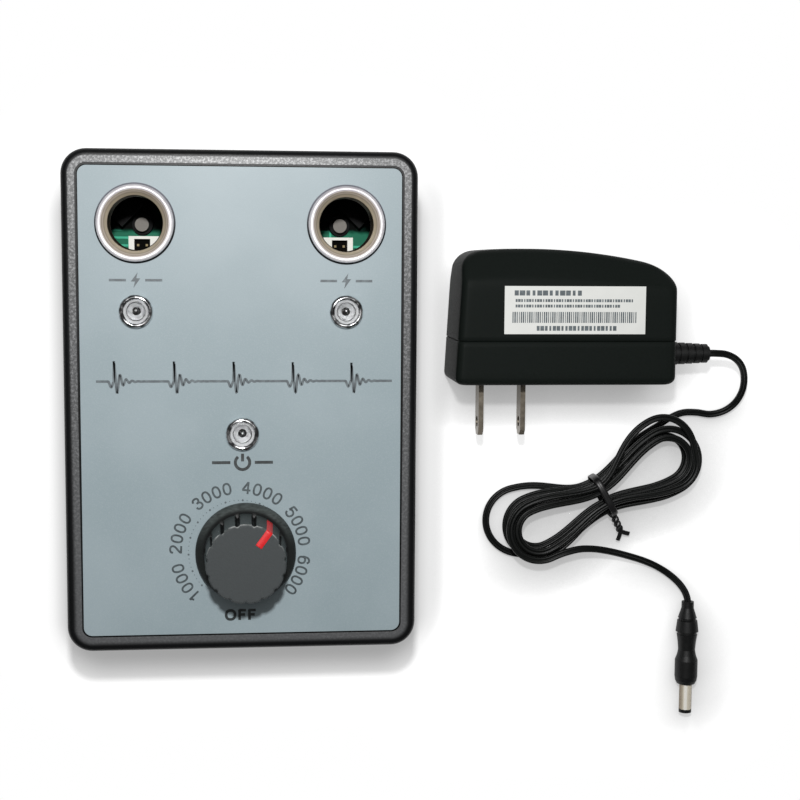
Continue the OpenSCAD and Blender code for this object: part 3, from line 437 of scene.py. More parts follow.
# twist tie: a narrow strip wound twice round the waist of the hank, its ends twisted together
tieSettings = {
    "width": 1.5,
    "thickness": 0.55,
    "halfWide": 6.95,                   # of the wound strip, across the hank
    "halfTall": 5.3,
    "middleHigh": 5.8,
    "square": 3.2,                      # 2 is an ellipse round the hank, more is squarer
    "turns": 2.0,
    "open": 0.12,                       # radians short of a full turn at each end
    "spread": 1.1,                      # mm along the hank from first to last turn
    "spacing": 0.35,
    "standOff": 0.2,
    "twistLength": 5.5,
    "twistTurns": 1.5,
    "twistRadius": 0.5,
    "endLength": 3.5,
    "endSplay": 2.6,
    "endDrop": 2.2,
}


# each end runs out from the bundle as one strand of a double helix, then splays
def tieEnd(settings, sign):
    t = np.linspace(0, 1, 40)
    angle = 2 * np.pi * settings["twistTurns"] * t + np.pi * (sign < 0)
    start = -settings["halfWide"] - settings["standOff"]
    radius = settings["twistRadius"]
    drop = settings["endDrop"] * t
    twist = np.stack([radius * np.cos(angle), start - settings["twistLength"] * t,
                      settings["middleHigh"] - drop + radius * np.sin(angle)], -1)
    t = np.linspace(0.1, 1, 12)
    splay = np.stack([sign * settings["endSplay"] * t**1.5, -settings["endLength"] * t,
                      -settings["endDrop"] * t * 0.5], -1)
    return np.vstack([twist, twist[-1] + splay])


# the wrap is a superellipse round the bundle that moves along the hank as it goes
def tiePath(settings):
    t = np.linspace(0, 1, 240)
    angle = -np.pi / 2 + settings["open"] + (2 * np.pi * settings["turns"] - 2 * settings["open"]) * t
    c, s = np.cos(angle), np.sin(angle)
    power = 2 / settings["square"]
    across = settings["halfWide"] * signedPower(s, power)
    high = settings["middleHigh"] - settings["halfTall"] * signedPower(c, power)
    wrap = np.stack([settings["spread"] * (t - 0.5), across, high], -1)
    x, y, z = np.vstack([tieEnd(settings, -1)[::-1], wrap, tieEnd(settings, 1)]).T
    x, y = turnFlat(x, y, np.radians(cordSettings["heading"]))
    middle = cordSettings["middle"]
    return evenPath(np.stack([middle[0] + x, middle[1] + y, z], -1), settings["spacing"])


# the strip's flat side faces the middle of the hank, and its section is a flat oval
def tieRings(settings):
    path = tiePath(settings)
    heading = unit(np.gradient(path, axis=0))
    axis = np.append(circle(np.radians(cordSettings["heading"])), 0)
    wide = unit(axis - (heading @ axis)[:, None] * heading)
    flat = np.cross(heading, wide)
    oval = circle(fullTurn(12)) * [settings["width"] / 2, settings["thickness"] / 2]
    return path[:, None] + oval[None, :, :1] * wide[:, None] + oval[None, :, 1:] * flat[:, None]


tiePlastic = mottledFinish("tiePlastic", (16, 16, 17), (10, 10, 11), 0.3, 2, detail=2)
tiePiece = addPiece("twistTie", loft(tieRings(tieSettings) * mm), "power_lead", "tie_black", tiePlastic)
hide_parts("cord_tie")
print("tie wound")


# layout of the face in mm, which its pieces and their finishes share
layout = {
    "panel": 41.6,                      # height of the panel's face
    "socket": (29.0, 49.8),
    "signalLamp": (29.0, 25.6),
    "powerLamp": (0.0, -8.6),
    "lampRing": (3.2, 3.45),            # where a bezel's outer ring begins
    "knob": (0.8, -41.8, 42.8),
}
sides = {"left": -1, "right": 1}        # what stands on the left mirrors what stands on the right


# case: black plastic with a grain on the flat rim whose pale speckles are partly painted glints, weaker
# towards the lower end as painted light from the upper end, and smooth dark sides
caseSettings = {
    "corner": (42.0, 63.0),             # mm, middle of a corner's arc
    "cornerRound": 7.0,
    "lowerToUpper": (-66.0, 40.0),
    "rimTop": (41.85, 41.95),
    "rimFrom": (1.7, 2.2),              # from the outer edge
    "rimTo": (4.1, 4.3),
    "lowerFrom": 0.9,                   # added to the rim's start at the lower end
    "upperTo": 0.35,                    # taken from its end at the upper end
    "grain": 0.7,
    "grainDeep": 0.12,
}


def caseFinish(settings):
    finish = Finish("casePlastic", Specular_IOR_Level=0.2, Coat_Roughness=0.4, Coat_IOR=1.9)
    x, y, z = finish.axes()
    past = [x.calc("MAXIMUM", p.size() - middle, 0.0) for p, middle in zip((x, y), settings["corner"])]
    inside = settings["cornerRound"] - past[0].reach(past[1])
    upper = y.between(*settings["lowerToUpper"])
    low, high = settings["rimFrom"]
    rim = inside.between(low, (1 - upper) * settings["lowerFrom"] + high) * z.between(*settings["rimTop"])
    rim = rim * (1 - (inside + upper * settings["upperTo"]).between(*settings["rimTo"]))
    grain = finish.grain(settings["grain"], 4, roughness=0.75)
    # grain and painted glints: the speckles keep their full contrast only at the upper end, where the light
    # falls
    grainGlint = 0.5 + (grain.between(0.44, 0.64) - 0.5) * (upper * 0.75 + 0.25)
    smooth = finish.mix(finish.grain(14, 3), tint(10, 11, 12), tint(16, 17, 18))
    rough = finish.mix(grainGlint, tint(36, 38, 39), tint(98, 99, 101))
    finish.put("Base Color", finish.mix(rim, smooth, rough))
    finish.put("Coat Weight", rim * (grainGlint * 0.5 + 0.4))
    finish.put("Roughness", rim * 0.1 + grain * 0.2 + 0.28)
    finish.bump(grain * (rim * 0.8 + 0.2), settings["grainDeep"])
    return finish.material


def panelFinish():                      # screen-printed polyester film with a fine matt grain
    finish = Finish("panelFilm", Specular_IOR_Level=0.5)
    grain = finish.grain(0.3, 2)
    shade = finish.mix(finish.grain(30, 4).between(0.3, 0.7), tint(139, 154, 159), tint(147, 161, 166))
    finish.put("Base Color", finish.mix(grain.between(0.45, 0.75) * 0.2, shade, tint(172, 182, 186)))
    finish.put("Roughness", grain * 0.12 + 0.4)
    finish.bump(grain, 0.015)
    return finish.material


# socket nickel: a pale rolled rim that is partly painted highlight, groove lines painted as shade, two tan
# bands, a bore painted darker as shade, and a gasket ring painted as shadow
socketBands = {                         # mm from the axis, inwards to outwards
    "bore": (7.5, 7.66),
    "seatGrooveShade": (8.1, 8.35, 8.4, 8.65),
    "seat": (8.3, 8.6),
    "rimGrooveShade": (8.75, 8.9, 8.95, 9.15),
    "rim": (9.0, 9.4),
    "shadowGasket": (10.5, 10.58),
}


def socketFinish(bands):
    finish = Finish("socketNickel")
    x, y = finish.axes()[:2]
    across, along = x.size() - layout["socket"][0], y - layout["socket"][1]
    radius = across.reach(along)
    rim, shadowGasket = radius.between(*bands["rim"]), radius.between(*bands["shadowGasket"])
    mottle = finish.grain(3, 4)
    # painted light on the rolled rim: paler at the lower side, greyer at the upper side, in patches; the rim
    # is made less metallic so that it stays pale all round
    paintedRimLight = along.between(-9, 9) * 0.5 + finish.grain(5, 2).between(0.35, 0.65) * 0.4
    rimHighlight = finish.mix(paintedRimLight, tint(238, 236, 238), tint(190, 185, 190))
    outer = finish.mix(mottle, tint(226, 213, 199), tint(242, 231, 219))
    inner = finish.mix(mottle, tint(216, 202, 176), tint(234, 221, 198))
    seat = finish.mix(radius.between(*bands["seat"]), inner, outer)
    # painted shade: a dark line inside the rim and one between the tan bands, standing for grooves
    line = radius.within(*bands["seatGrooveShade"]) * 0.3 + radius.within(*bands["rimGrooveShade"]) * 0.45
    seat = finish.mix(line, seat, tint(124, 108, 90))
    # painted shade: the bore is darker, as shade in the hollow
    seat = finish.mix(radius.between(*bands["bore"]), tint(64, 57, 46), seat)
    # painted shadow on the gasket ring: black at the lower side, grey at the upper side
    rubber = finish.mix(along.between(-4, 9), tint(12, 12, 18), tint(112, 112, 120))
    finish.put("Base Color", finish.mix(shadowGasket, finish.mix(rim, seat, rimHighlight), rubber))
    finish.put("Metallic", (0.4 - rim * 0.1) * (1 - shadowGasket))
    finish.put("Roughness", mottle * 0.14 + rim * 0.06 + 0.3)
    return finish.material


def barrelFinish(axis):                 # nickel plug barrel: a painted highlight streak along it and painted shade on its brown edges
    finish = Finish("plugBarrel", Metallic=0.15)
    across = finish.axes()[0] - axis
    # painted highlight: a pale streak along the barrel
    highlightStreak = 1 - (across + 0.5).size().between(0.2, 0.8)
    # painted shade: the barrel's sides turn brown and dark
    edge = across.size().between(0.9, 2.0)
    mottle = finish.grain(1.5, 4)
    nickel = finish.mix(mottle, tint(222, 212, 190), tint(238, 230, 212))
    nickel = finish.mix(highlightStreak, nickel, tint(255, 252, 243))
    finish.put("Base Color", finish.mix(edge * 0.85, nickel, tint(108, 88, 62)))
    finish.put("Roughness", mottle * 0.14 + 0.22)
    return finish.material


# knob plastic: matt cap with a pale edge that is partly wear and partly painted highlight, flutes painted
# dark as shade in a grey wall, and a skirt with a painted highlight and painted shade at its foot
knobBands = {                           # mm, heights from the knob's foot and radii
    "cap": (16.6, 16.9),
    "capEdge": (16.3, 16.65, 16.8, 16.99),
    "wall": (3.5, 3.9),
    "wallFoot": (11.45, 3.8, 0.038),    # radius of the wall, height of its foot, lean
    "fluteDeep": (0.18, 0.45),
    "fluteFrom": (3.0, 3.2),
    "skirtFootShade": (11.6, 12.3),
    "skirtHighlight": (12.0, 12.9),
}


def knobFinish(bands):
    finish = Finish("knobPlastic", Specular_IOR_Level=0.3)
    x, y, z = finish.axes(layout["knob"])
    radius = x.reach(y)
    mottle = finish.grain(0.5, 4)
    cap, wall = z.between(*bands["cap"]), z.between(*bands["wall"])
    # the cap's edge is paler where worn, and as painted highlight only on the side towards the light
    edge = z.within(*bands["capEdge"]) * finish.grain(2.4, 3).between(0.3, 0.6) * y.between(-1, 9)
    foot, footHigh, lean = bands["wallFoot"]
    sunk = foot - (z - footHigh) * lean - radius
    # painted shade: the flutes are coloured near black, as shade in the grooves
    flute = sunk.between(*bands["fluteDeep"]) * z.between(*bands["fluteFrom"]) * (1 - cap)
    drawn = finish.node("ShaderNodeMapping", None, {"Vector": finish.spot(), "Scale": (1, 3, 1)})
    # painted highlight: a streaky sheen on the skirt, only on the side towards the light
    highlightStreak = finish.grain(1.6, 3, drawn).between(0.2, 0.8) * 0.7 + 0.3
    highlightStreak = highlightStreak * radius.between(*bands["skirtHighlight"]) * y.between(1, 11)
    skirt = finish.mix(highlightStreak, tint(27, 30, 29), tint(76, 82, 81))
    # painted shade where the skirt meets the wall
    skirt = finish.mix(radius.between(*bands["skirtFootShade"]), tint(9, 10, 10), skirt)
    side = finish.mix(wall, skirt, tint(56, 62, 61))
    side = finish.mix(flute, side, tint(6, 7, 7))
    top = finish.mix(mottle, tint(58, 62, 63), tint(66, 70, 71))
    finish.put("Base Color", finish.mix(edge * 0.75, finish.mix(cap, side, top), tint(176, 178, 176)))
    finish.put("Roughness", cap * 0.1 + wall * 0.04 + mottle * 0.2 + 0.36)
    finish.bump(mottle, 0.03)
    return finish.material


# board: solder mask over copper runs, tinned pads, and painted shadow, black with dark green patches, over
# the part of each well that the case shades
boardSettings = {
    "run": 0.35,                        # mm
    "runLong": 11.0,
    "runStep": 2.3,
    "padStep": 4.2,
    "shadowFrom": (48.0, 49.6),
    "shadowRagged": 1.6,
}


def boardFinish(settings):
    finish = Finish("boardMask", Specular_IOR_Level=0.1)
    bricks = {
        "Vector": finish.spot(), "Scale": 1.0, "Mortar Size": settings["run"] * mm, "Mortar Smooth": 0.1,
        "Brick Width": settings["runLong"] * mm, "Row Height": settings["runStep"] * mm,
    }
    runs = finish.node("ShaderNodeTexBrick", {"offset": 0.5, "squash": 1.6}, bricks, 1)
    runs = runs * finish.grain(9, 2).between(0.45, 0.5)
    patch = finish.grain(2.5, 3)
    # painted shadow: the upper part of each well is black with a ragged edge and rougher
    paintedShadow = (finish.axes()[1] + patch * settings["shadowRagged"]).between(*settings["shadowFrom"])
    pads = finish.cells(settings["padStep"]).between(0.15, 0.11) * (1 - paintedShadow)
    mask = finish.mix(runs, tint(0, 104, 76), tint(64, 178, 144))
    black = finish.mix(patch.between(0.5, 0.7), tint(3, 5, 4), tint(4, 30, 23))
    finish.put("Base Color", finish.mix(pads, finish.mix(paintedShadow, mask, black), tint(190, 192, 186)))
    finish.put("Metallic", pads * 0.7)
    finish.put("Roughness", 0.42 - pads * 0.05 + paintedShadow * 0.4)
    finish.bump(runs + pads, 0.05)
    return finish.material


def bezelFinish():                      # chrome with painted reflections, light and dark patches, on the outer ring, and a funnel made pale and less metallic as a painted reflection
    finish = Finish("lampChrome")
    x, y = finish.axes()[:2]
    signal = (x.size() - layout["signalLamp"][0]).reach(y - layout["signalLamp"][1])
    power = (x - layout["powerLamp"][0]).reach(y - layout["powerLamp"][1])
    ring = x.calc("MINIMUM", signal, power).between(*layout["lampRing"])
    # painted reflections: the outer ring's chrome is lighter and darker in patches
    patch = finish.grain(2.4, 2).between(0.4, 0.6)
    outer = finish.mix(patch, tint(122, 123, 124), tint(240, 240, 241))
    finish.put("Base Color", finish.mix(ring, tint(232, 233, 234), outer))
    finish.put("Metallic", ring * 0.6 + 0.4)
    finish.put("Roughness", patch * 0.1 + 0.1)
    return finish.material


lampClear = mottledFinish("lampClear", (252, 253, 253), (244, 246, 247), 0.04, 2, spread=0.1, detail=2,
                          Transmission_Weight=1.0, IOR=1.5)

# one finish for each material slot of the carried pieces
finishes = {
    "case_black": caseFinish(caseSettings),
    "panel_grey": panelFinish(),
    "steel": metalFinish("screwSteel", (176, 176, 172), (128, 128, 126), 0.3),
    "foot_rubber": plainFinish("footRubber", (34, 34, 34), (24, 24, 24), 0.7, 1.2, 0.04),
    "socket_nickel": socketFinish(socketBands),
    "plated_brass": metalFinish("platedBrass", (212, 200, 160), (176, 160, 116), 0.3),
    "wire_green": plainFinish("earthWire", (44, 118, 60), (30, 92, 46), 0.4, 2),
    "wire_red": plainFinish("controlWire", (150, 40, 34), (122, 28, 26), 0.4, 2),
    "inner_black": plainFinish("innerBlack", (13, 13, 14), (8, 8, 9), 0.6, 1, 0.03, 0.15),
    "lamp_chrome": bezelFinish(),
    "lamp_clear": lampClear,
    "knob_grey": knobFinish(knobBands),
    "pointer_red": plainFinish("pointerPaint", (222, 40, 42), (206, 30, 36), 0.35, 1, 0.02),
    "resin_brown": plainFinish("waferBoard", (128, 80, 44), (104, 62, 34), 0.5, 1),
    "board_green": boardFinish(boardSettings),
    "nylon_white": plainFinish("headerNylon", (238, 237, 230), (226, 224, 214), 0.4, 2),
    "sleeve_blue": plainFinish("capacitorSleeve", (32, 40, 84), (24, 30, 66), 0.3, 3),
    "adapter_black": plainFinish("adapterPlastic", (24, 28, 26), (19, 23, 21), 0.4, 0.6, 0.02, 0.04),
    "label_white": plainFinish("labelPaper", (226, 227, 223), (216, 217, 213), 0.45, 5),
    "blade_nickel": metalFinish("bladeNickel", (140, 132, 120), (104, 97, 86), 0.3),
    "winding_yellow": plainFinish("windingTape", (214, 180, 54), (190, 156, 40), 0.4, 2),
    "cord_black": plainFinish("bootVinyl", (14, 15, 15), (9, 10, 10), 0.42, 1.5, 0.03, 0.3),
    "tie_black": tiePlastic,
}
plugAxis = cordSettings["tail"][-1][0]
contactFinish = metalFinish("contactPlate", (118, 113, 107), (92, 88, 83), 0.5, 0.8, 0.3)
cupFinish = metalFinish("lampCup", (244, 245, 246), (226, 227, 229), 0.34, 1.2, 0.2)
chipFinish = plainFinish("lampChip", (62, 62, 62), (40, 40, 40), 0.6, 0.4, 0.0, 0.2)
headerFinish = plainFinish("headerShade", (9, 8, 6), (5, 4, 3), 0.7, 0.6, 0.0, 0.05)
pinFinish = metalFinish("headerPin", (132, 118, 84), (104, 92, 64), 0.5, 0.6, 0.5)
nodeFinishes = {
    "contact_pin_left": contactFinish, "contact_pin_right": contactFinish,
    "dc_plug_barrel": barrelFinish(plugAxis), "header_pins": pinFinish,
}
for part in frame["record"]["subparts"]:
    data = nodes[part["node"]].data
    data.materials.clear()
    data.materials.append(nodeFinishes.get(part["node"], finishes[part["material_slot"]]))
print("finishes set:", len(finishes))


# adapter: two half shells that meet at the parting line, hollow inside
adapterSettings = {
    "corner": (62.0, 3.5, 0.0),         # mm, lowest corner of the blade face
    "wide": 66.0,
    "long": 40.0,
    "thick": 29.0,
    "wall": 2.0,
    "lean": 2.2,                        # of the left side, from face to back
    "faceRound": 2.4,
    "leftRound": 5.0,
    "rightRound": 9.0,
    "edgeRound": 2.2,
    "backRound": 1.6,
    "crown": 22.0,                      # where the arched back is highest
    "arch": 334.0,                      # twice the radius of the arch
    "crease": 31.0,
    "creaseSoft": 1.0,
    "slope": 0.555,
    "parting": 13.0,
    "chamfer": 0.3,
    "gap": 0.03,                        # from each shell to the parting line
    "section": (40, 8, 9),              # points along the long and the short sides and on a corner
}


# template of a rounded rectangle: share across, share up and angle on the corner arc of each point
def boxTemplate(acrossRuns, upRuns, arcSteps):
    turn = np.linspace(0, 90, arcSteps)
    across = np.linspace(1, 0, acrossRuns + 2)[1:-1]
    up = np.linspace(1, 0, upRuns + 2)[1:-1]
    parts = [
        (turn * 0 + 1, turn * 0 + 1, turn), (across, across * 0 + 1, across * 0 + 90),
        (turn * 0, turn * 0 + 1, turn + 90), (up * 0, up, up * 0 + 180),
        (turn * 0, turn * 0, turn + 180), (1 - across, across * 0, across * 0 + 270),
        (turn * 0 + 1, turn * 0, turn + 270), (up * 0 + 1, 1 - up, up * 0 + 360),
    ]
    return np.hstack([np.vstack(part) for part in parts])


# drop of a quarter-round edge of a given radius, for a distance past the edge's start
def roundDrop(past, radius):
    past = np.clip(past, 0, radius)
    return radius - np.sqrt(np.maximum(radius**2 - past**2, 0))


# rounded box sections across the adapter at each distance from the blade face; inset moves the wall inwards,
# flat brings top and bottom together to close the back, and the arch bends the sections towards the face
def adapterRings(settings, distance, inset, flat):
    long = settings["long"]
    radii = {key: np.maximum(settings[key] - inset, 0.3)
             for key in ("faceRound", "leftRound", "rightRound", "edgeRound", "backRound")}
    face = roundDrop(radii["faceRound"] - (distance - inset), radii["faceRound"])
    left = settings["lean"] * distance / long + inset + face
    left = left + roundDrop(distance - (long - inset - radii["leftRound"]), radii["leftRound"])
    right = settings["wide"] - inset - face
    right = right - roundDrop(distance - (long - inset - radii["rightRound"]), radii["rightRound"])
    past = distance - settings["crease"]
    drop = settings["slope"] * (np.hypot(past, settings["creaseSoft"]) + past) / 2
    low = inset + face + drop + roundDrop(distance - (long - inset - radii["backRound"]), radii["backRound"])
    low = low + (settings["thick"] / 2 - low) * flat
    edge = radii["edgeRound"] * (1 - flat)
    across, up, turn = boxTemplate(*settings["section"])[:, None, :]
    turn = np.radians(turn)
    left, right, low, edge = (x[:, None] for x in (left, right, low, edge))
    high = settings["thick"] - low
    u = left + edge + (right - left - 2 * edge) * across + edge * np.cos(turn)
    z = low + edge + (high - low - 2 * edge) * up + edge * np.sin(turn)
    bend = np.clip((distance - settings["parting"]) / (long - settings["parting"]), 0, 1)[:, None] ** 2
    v = distance[:, None] - bend * (u - settings["crown"]) ** 2 / settings["arch"]
    return (np.stack([u, v, z], -1) + np.array(settings["corner"])) * mm


# back shell from the middle of its back, over the outside to the parting line, and back along the inside
def adapterBack(settings):
    long, wall, rounding = pick(settings, "long", "wall", "rightRound")
    parting, chamfer = pick(settings, "parting", "chamfer")
    closing = np.linspace(1, 0, 6)[:-1]
    still = 0 * closing
    rounded = long - rounding * (1 - np.sin(np.linspace(np.pi / 2, 0, 22)))
    outer = np.concatenate([rounded, np.linspace(long - rounding, parting + chamfer, 16)[1:]])
    rim = [parting + settings["gap"]] * 2
    inner = np.linspace(parting + 1, long - wall, 14)
    distance = np.concatenate([still + long, outer, rim, inner, still + long - wall])
    inset = np.concatenate([still, 0 * outer, [chamfer, wall], 0 * inner + wall, still + wall])
    flat = np.concatenate([closing, 0 * outer, [0, 0], 0 * inner, closing[::-1]])
    return loft(adapterRings(settings, distance, inset, flat), False)


# face shell from the blade face along the outside to the parting line, and back along the inside
def adapterFace(settings):
    wall, parting, chamfer, rounding = pick(settings, "wall", "parting", "chamfer", "faceRound")
    rounded = rounding * (1 - np.cos(np.linspace(0, np.pi / 2, 9)))
    outer = np.concatenate([rounded, np.linspace(rounding, parting - chamfer, 8)[1:]])
    rim = [parting - settings["gap"]] * 2
    inner = np.linspace(parting - 1, wall, 6)
    distance = np.concatenate([outer, rim, inner])
    inset = np.concatenate([0 * outer, [chamfer, wall], 0 * inner + wall])
    return loft(adapterRings(settings, distance, inset, 0 * distance))


backPiece = addPiece("adapterBack", adapterBack(adapterSettings), "power_lead", "adapter_black")
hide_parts("adapter_back_shell")
facePiece = addPiece("adapterFace", adapterFace(adapterSettings), "power_lead", "adapter_black")
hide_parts("adapter_face_shell")
print("adapter moulded")


# sockets: a turned nickel shell with a rolled rim, a conical seat and a threaded bore
socketSettings = {
    "bore": 7.4,                        # mm, radius
    "body": 8.8,
    "deep": 9.0,
    "flange": 10.55,
    "shadowGasket": 11.0,                     # radius of the thin ring under the flange, a gasket that carries a painted shadow
    "seat": 7.65,
    "rim": 0.85,                        # radius of the rolled rim
    "high": 2.2,
    "seatDrop": 1.4,
    "thread": 0.22,
    "pitch": 1.25,
}


# outline from the foot of the body up the outside, over the rolled rim, down the seat and the threaded bore
def socketOutline(settings):
    bore, body, flange, rim, high = pick(settings, "bore", "body", "flange", "rim", "high")
    shadowGasket, inner, deep, pitch = pick(settings, "shadowGasket", "seat", "deep", "pitch")
    rolled = arcPoints((flange - rim, high - rim), rim, 0, 150, 22)
    start = rolled[-1] + [-0.1, -0.12]
    seatLow = high - rim - 0.2 - settings["seatDrop"]
    seat = start + ([inner + 0.12, seatLow + 0.1] - start) * np.linspace(0, 1, 14)[:, None]
    lip = np.array([[inner + 0.02, seatLow], [inner, seatLow - 0.15], [bore, seatLow - 0.6]])
    down = np.arange(seatLow - 0.8, -deep + 0.6, -pitch / 4)
    wave = settings["thread"] * (0.5 - 0.5 * np.cos(2 * np.pi * (down - down[0]) / pitch))
    thread = np.stack([bore + wave, down], -1)
    foot = np.array([
        [bore, -deep], [body, -deep], [body, -0.1], [body, 0.02], [shadowGasket, 0.02], [shadowGasket, 0.3],
        [flange + 0.02, 0.36], [flange - 0.22, 0.45], [flange - 0.06, 0.8],
    ])
    return np.vstack([foot, rolled, seat, lip, thread, foot[:1]])


for side, sign in sides.items():
    centre = (sign * layout["socket"][0], layout["socket"][1], layout["panel"])
    shell = turned(socketOutline(socketSettings), centre, 128)
    piece = addPiece("socketShell." + side, shell, "case", "socket_nickel")
    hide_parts("plug_socket_" + side)
print("sockets turned")


# lamps: chromed bezel, clear domed body, and the bright cup and dark chip inside it
lampSettings = {
    "bezelRadius": 4.65,                # mm
    "bezelHigh": 1.5,
    "shoulder": 0.75,
    "bezelBody": 3.6,
    "bezelDeep": 6.0,
    "lampRadius": 2.5,
    "lipRadius": 2.95,
    "rise": 2.4,
    "lampLong": 8.6,
    "cupRadius": 2.2,
    "cupDeep": 1.1,
    "cupDrop": 0.15,                    # from the foot of the dome to the cup's edge
    "chip": 0.6,
}


# outline of the bezel: body, flat flange, rounded shoulder, flat top and a funnel down to the lamp
def bezelOutline(settings):
    outer, high, bend = pick(settings, "bezelRadius", "bezelHigh", "shoulder")
    body, deep = pick(settings, "bezelBody", "bezelDeep")
    hole, inside = settings["lampRadius"] + 0.12, settings["lipRadius"] + 0.12
    step = settings["rise"] - settings["lampLong"] + 1.1
    return np.vstack([
        [[inside, -deep], [body, -deep], [body, 0.01], [outer - 0.08, 0.01], [outer, 0.1]],
        arcPoints((outer - bend, high - bend), bend, 0, 90, 10),
        [[outer - 1.0, high - 0.02], [outer - 1.1, high - 0.1], [hole + 0.06, high * 0.5]],
        [[hole, high * 0.42], [hole, step], [inside, step], [inside, -deep]],
    ])


# outline of the clear body: foot, lip, straight side and a half-round dome closed on the axis
def lampOutline(settings):
    radius, rise, lip = pick(settings, "lampRadius", "rise", "lipRadius")
    low = rise - settings["lampLong"]
    dome = arcPoints((0, rise - radius), radius, 0, 90, 20)
    dome[-1, 0] = 0
    return np.vstack([[[0, low], [lip, low], [lip, low + 1], [radius, low + 1]], dome])


# the cup is a shallow dish with a rolled edge
def cupOutline(settings):
    radius, deep = settings["cupRadius"], settings["cupDeep"]
    edge = settings["rise"] - settings["lampRadius"] - settings["cupDrop"]
    share = np.linspace(0, 1, 10)
    dish = np.stack([radius * share, edge - deep * (1 - share**2)], -1)
    outside, under = radius + 0.15, edge - deep - 0.3
    return np.vstack([dish, [[outside, edge], [outside, edge - 0.4], [0.5, under], [0, under]]])


def chipOutline(settings):              # a small block standing in the cup
    size = settings["chip"]
    foot = settings["rise"] - settings["lampRadius"] - settings["cupDrop"] - settings["cupDeep"]
    low, shoulder, top = foot - 0.1, foot + 0.35, foot + 0.45
    return np.array([[0, low], [size, low], [size, shoulder], [size * 0.8, top], [0, top]])


x, y = layout["signalLamp"]
lampPlaces = {"signal_%s_left": (-x, y), "signal_%s_right": (x, y), "power_%s": layout["powerLamp"]}
for name, place in lampPlaces.items():
    centre = (*place, layout["panel"])
    label = (name % "lamp").replace("_", "")
    bezel = addPiece(label + ".bezel", turned(bezelOutline(lampSettings), centre), "case", "lamp_chrome")
    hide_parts(name % "bezel")
    clear = addPiece(label + ".body", turned(lampOutline(lampSettings), centre, 64), "case", "lamp_clear")
    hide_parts(name % "lamp")
    cup, chip = turned(cupOutline(lampSettings), centre, 48), turned(chipOutline(lampSettings), centre, 24)
    addPiece(label + ".cup", cup, "case", "lamp_chrome", cupFinish)
    addPiece(label + ".chip", chip, "case", "inner_black", chipFinish)
print("lamps fitted")


# contact springs: round wire wound in a helix, closer at both ends, filling the box of each CAD spring
springSettings = {
    "wire": 0.2,                        # mm, radius
    "turns": 4.0,
    "foot": 4.5,                        # height of the fixed end
    "press": 2.2,
    "closed": 0.07,                     # how much closer the turns are at the ends
    "points": 192,
    "sides": 10,
}


def springRings(settings, low, high):
    t = np.linspace(0, 1, settings["points"])
    wire = settings["wire"]
    radius = (high[0] - low[0]) / 2 - wire
    flat = (low[:2] + high[:2]) / 2 + radius * circle(2 * np.pi * settings["turns"] * t)
    rise = t - settings["closed"] * np.sin(2 * np.pi * t)
    height = low[2] + wire + (high[2] - low[2] - 2 * wire) * rise
    return sweep(np.hstack([flat, height[:, None]]), wire * circle(fullTurn(settings["sides"]))) * mm


for side in sides:
    node = "contact_spring_" + side
    low, high = (np.array(corner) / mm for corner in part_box(node))
    piece = addPiece("contactSpring." + side, loft(springRings(springSettings, low, high)), "case", "steel")
    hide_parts(node)
    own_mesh(piece)
print("springs wound")


# header shade blocks: a dark block put in the opening of each white header as painted shade, short of its
# pins
headerSettings = {"place": (28.8, 43.8), "wide": 4.5, "long": 3.5, "low": 10.2, "high": 13.6}


def headerShadeBlock(settings, sign):
    x, y = settings["place"]
    corner = np.array([[-1, -1], [1, -1], [1, 1], [-1, 1]]) / 2 * [settings["wide"], settings["long"]]
    flat = corner + [sign * x, y]
    rings = [np.hstack([flat, np.full((4, 1), settings[key])]) for key in ("low", "high")]
    return loft(np.array(rings) * mm)


for number, sign in enumerate(sides.values()):
    plug = headerShadeBlock(headerSettings, sign)
    addPiece("headerShadeBlock.%d" % number, plug, "case", "inner_black", headerFinish, smooth=False)
print("headers plugged")


# knob: a skirted, fluted knob with a flat cap, and a red pointer let into one flute
knobSettings = {
    "high": 17.0,                       # mm
    "hollow": (8.2, 5.4),               # radius and depth of the underside
    "skirt": [                          # radius and height
        (13.75, 0.0), (13.98, 0.12), (14.05, 0.35), (14.05, 0.9), (13.97, 1.3), (13.75, 1.7), (13.35, 2.1),
        (12.85, 2.5), (12.3, 2.9), (11.9, 3.2), (11.6, 3.5),
    ],
    "grip": 11.45,                      # radius at the foot of the wall
    "cap": 10.95,
    "gripFrom": 3.8,
    "edge": 0.5,
    "flutes": 15,
    "fluteDeep": 1.1,
    "fluteWide": 0.6,                   # mm, half width
    "lobe": 0.2,
    "pointer": 54.0,                    # degrees from +X
    "pointerWide": 2.0,
    "pointerFrom": 5.8,
    "pointerProud": 0.07,
    "points": 600,                      # round the knob
}


# grip radius by angle: lobes between narrow flutes, with no flute at the pointer
def gripRadius(settings, angle):
    flutes, grip = pick(settings, "flutes", "grip")
    past = (np.degrees(angle) - settings["pointer"]) * flutes / 360
    number = np.round(past)
    aside = np.abs(past - number)
    groove = settings["fluteDeep"] * np.exp(-(2 * np.pi * aside / flutes * grip / settings["fluteWide"]) ** 4)
    lobe = settings["lobe"] * (np.sin(np.pi * aside) - 1)
    return grip + np.where(number % flutes == 0, 0, lobe - groove)


def wallRadius(settings, height):       # the wall leans in a little from its foot to the cap
    share = (height - settings["gripFrom"]) / (settings["high"] - settings["gripFrom"])
    return settings["grip"] + (settings["cap"] - settings["grip"]) * share


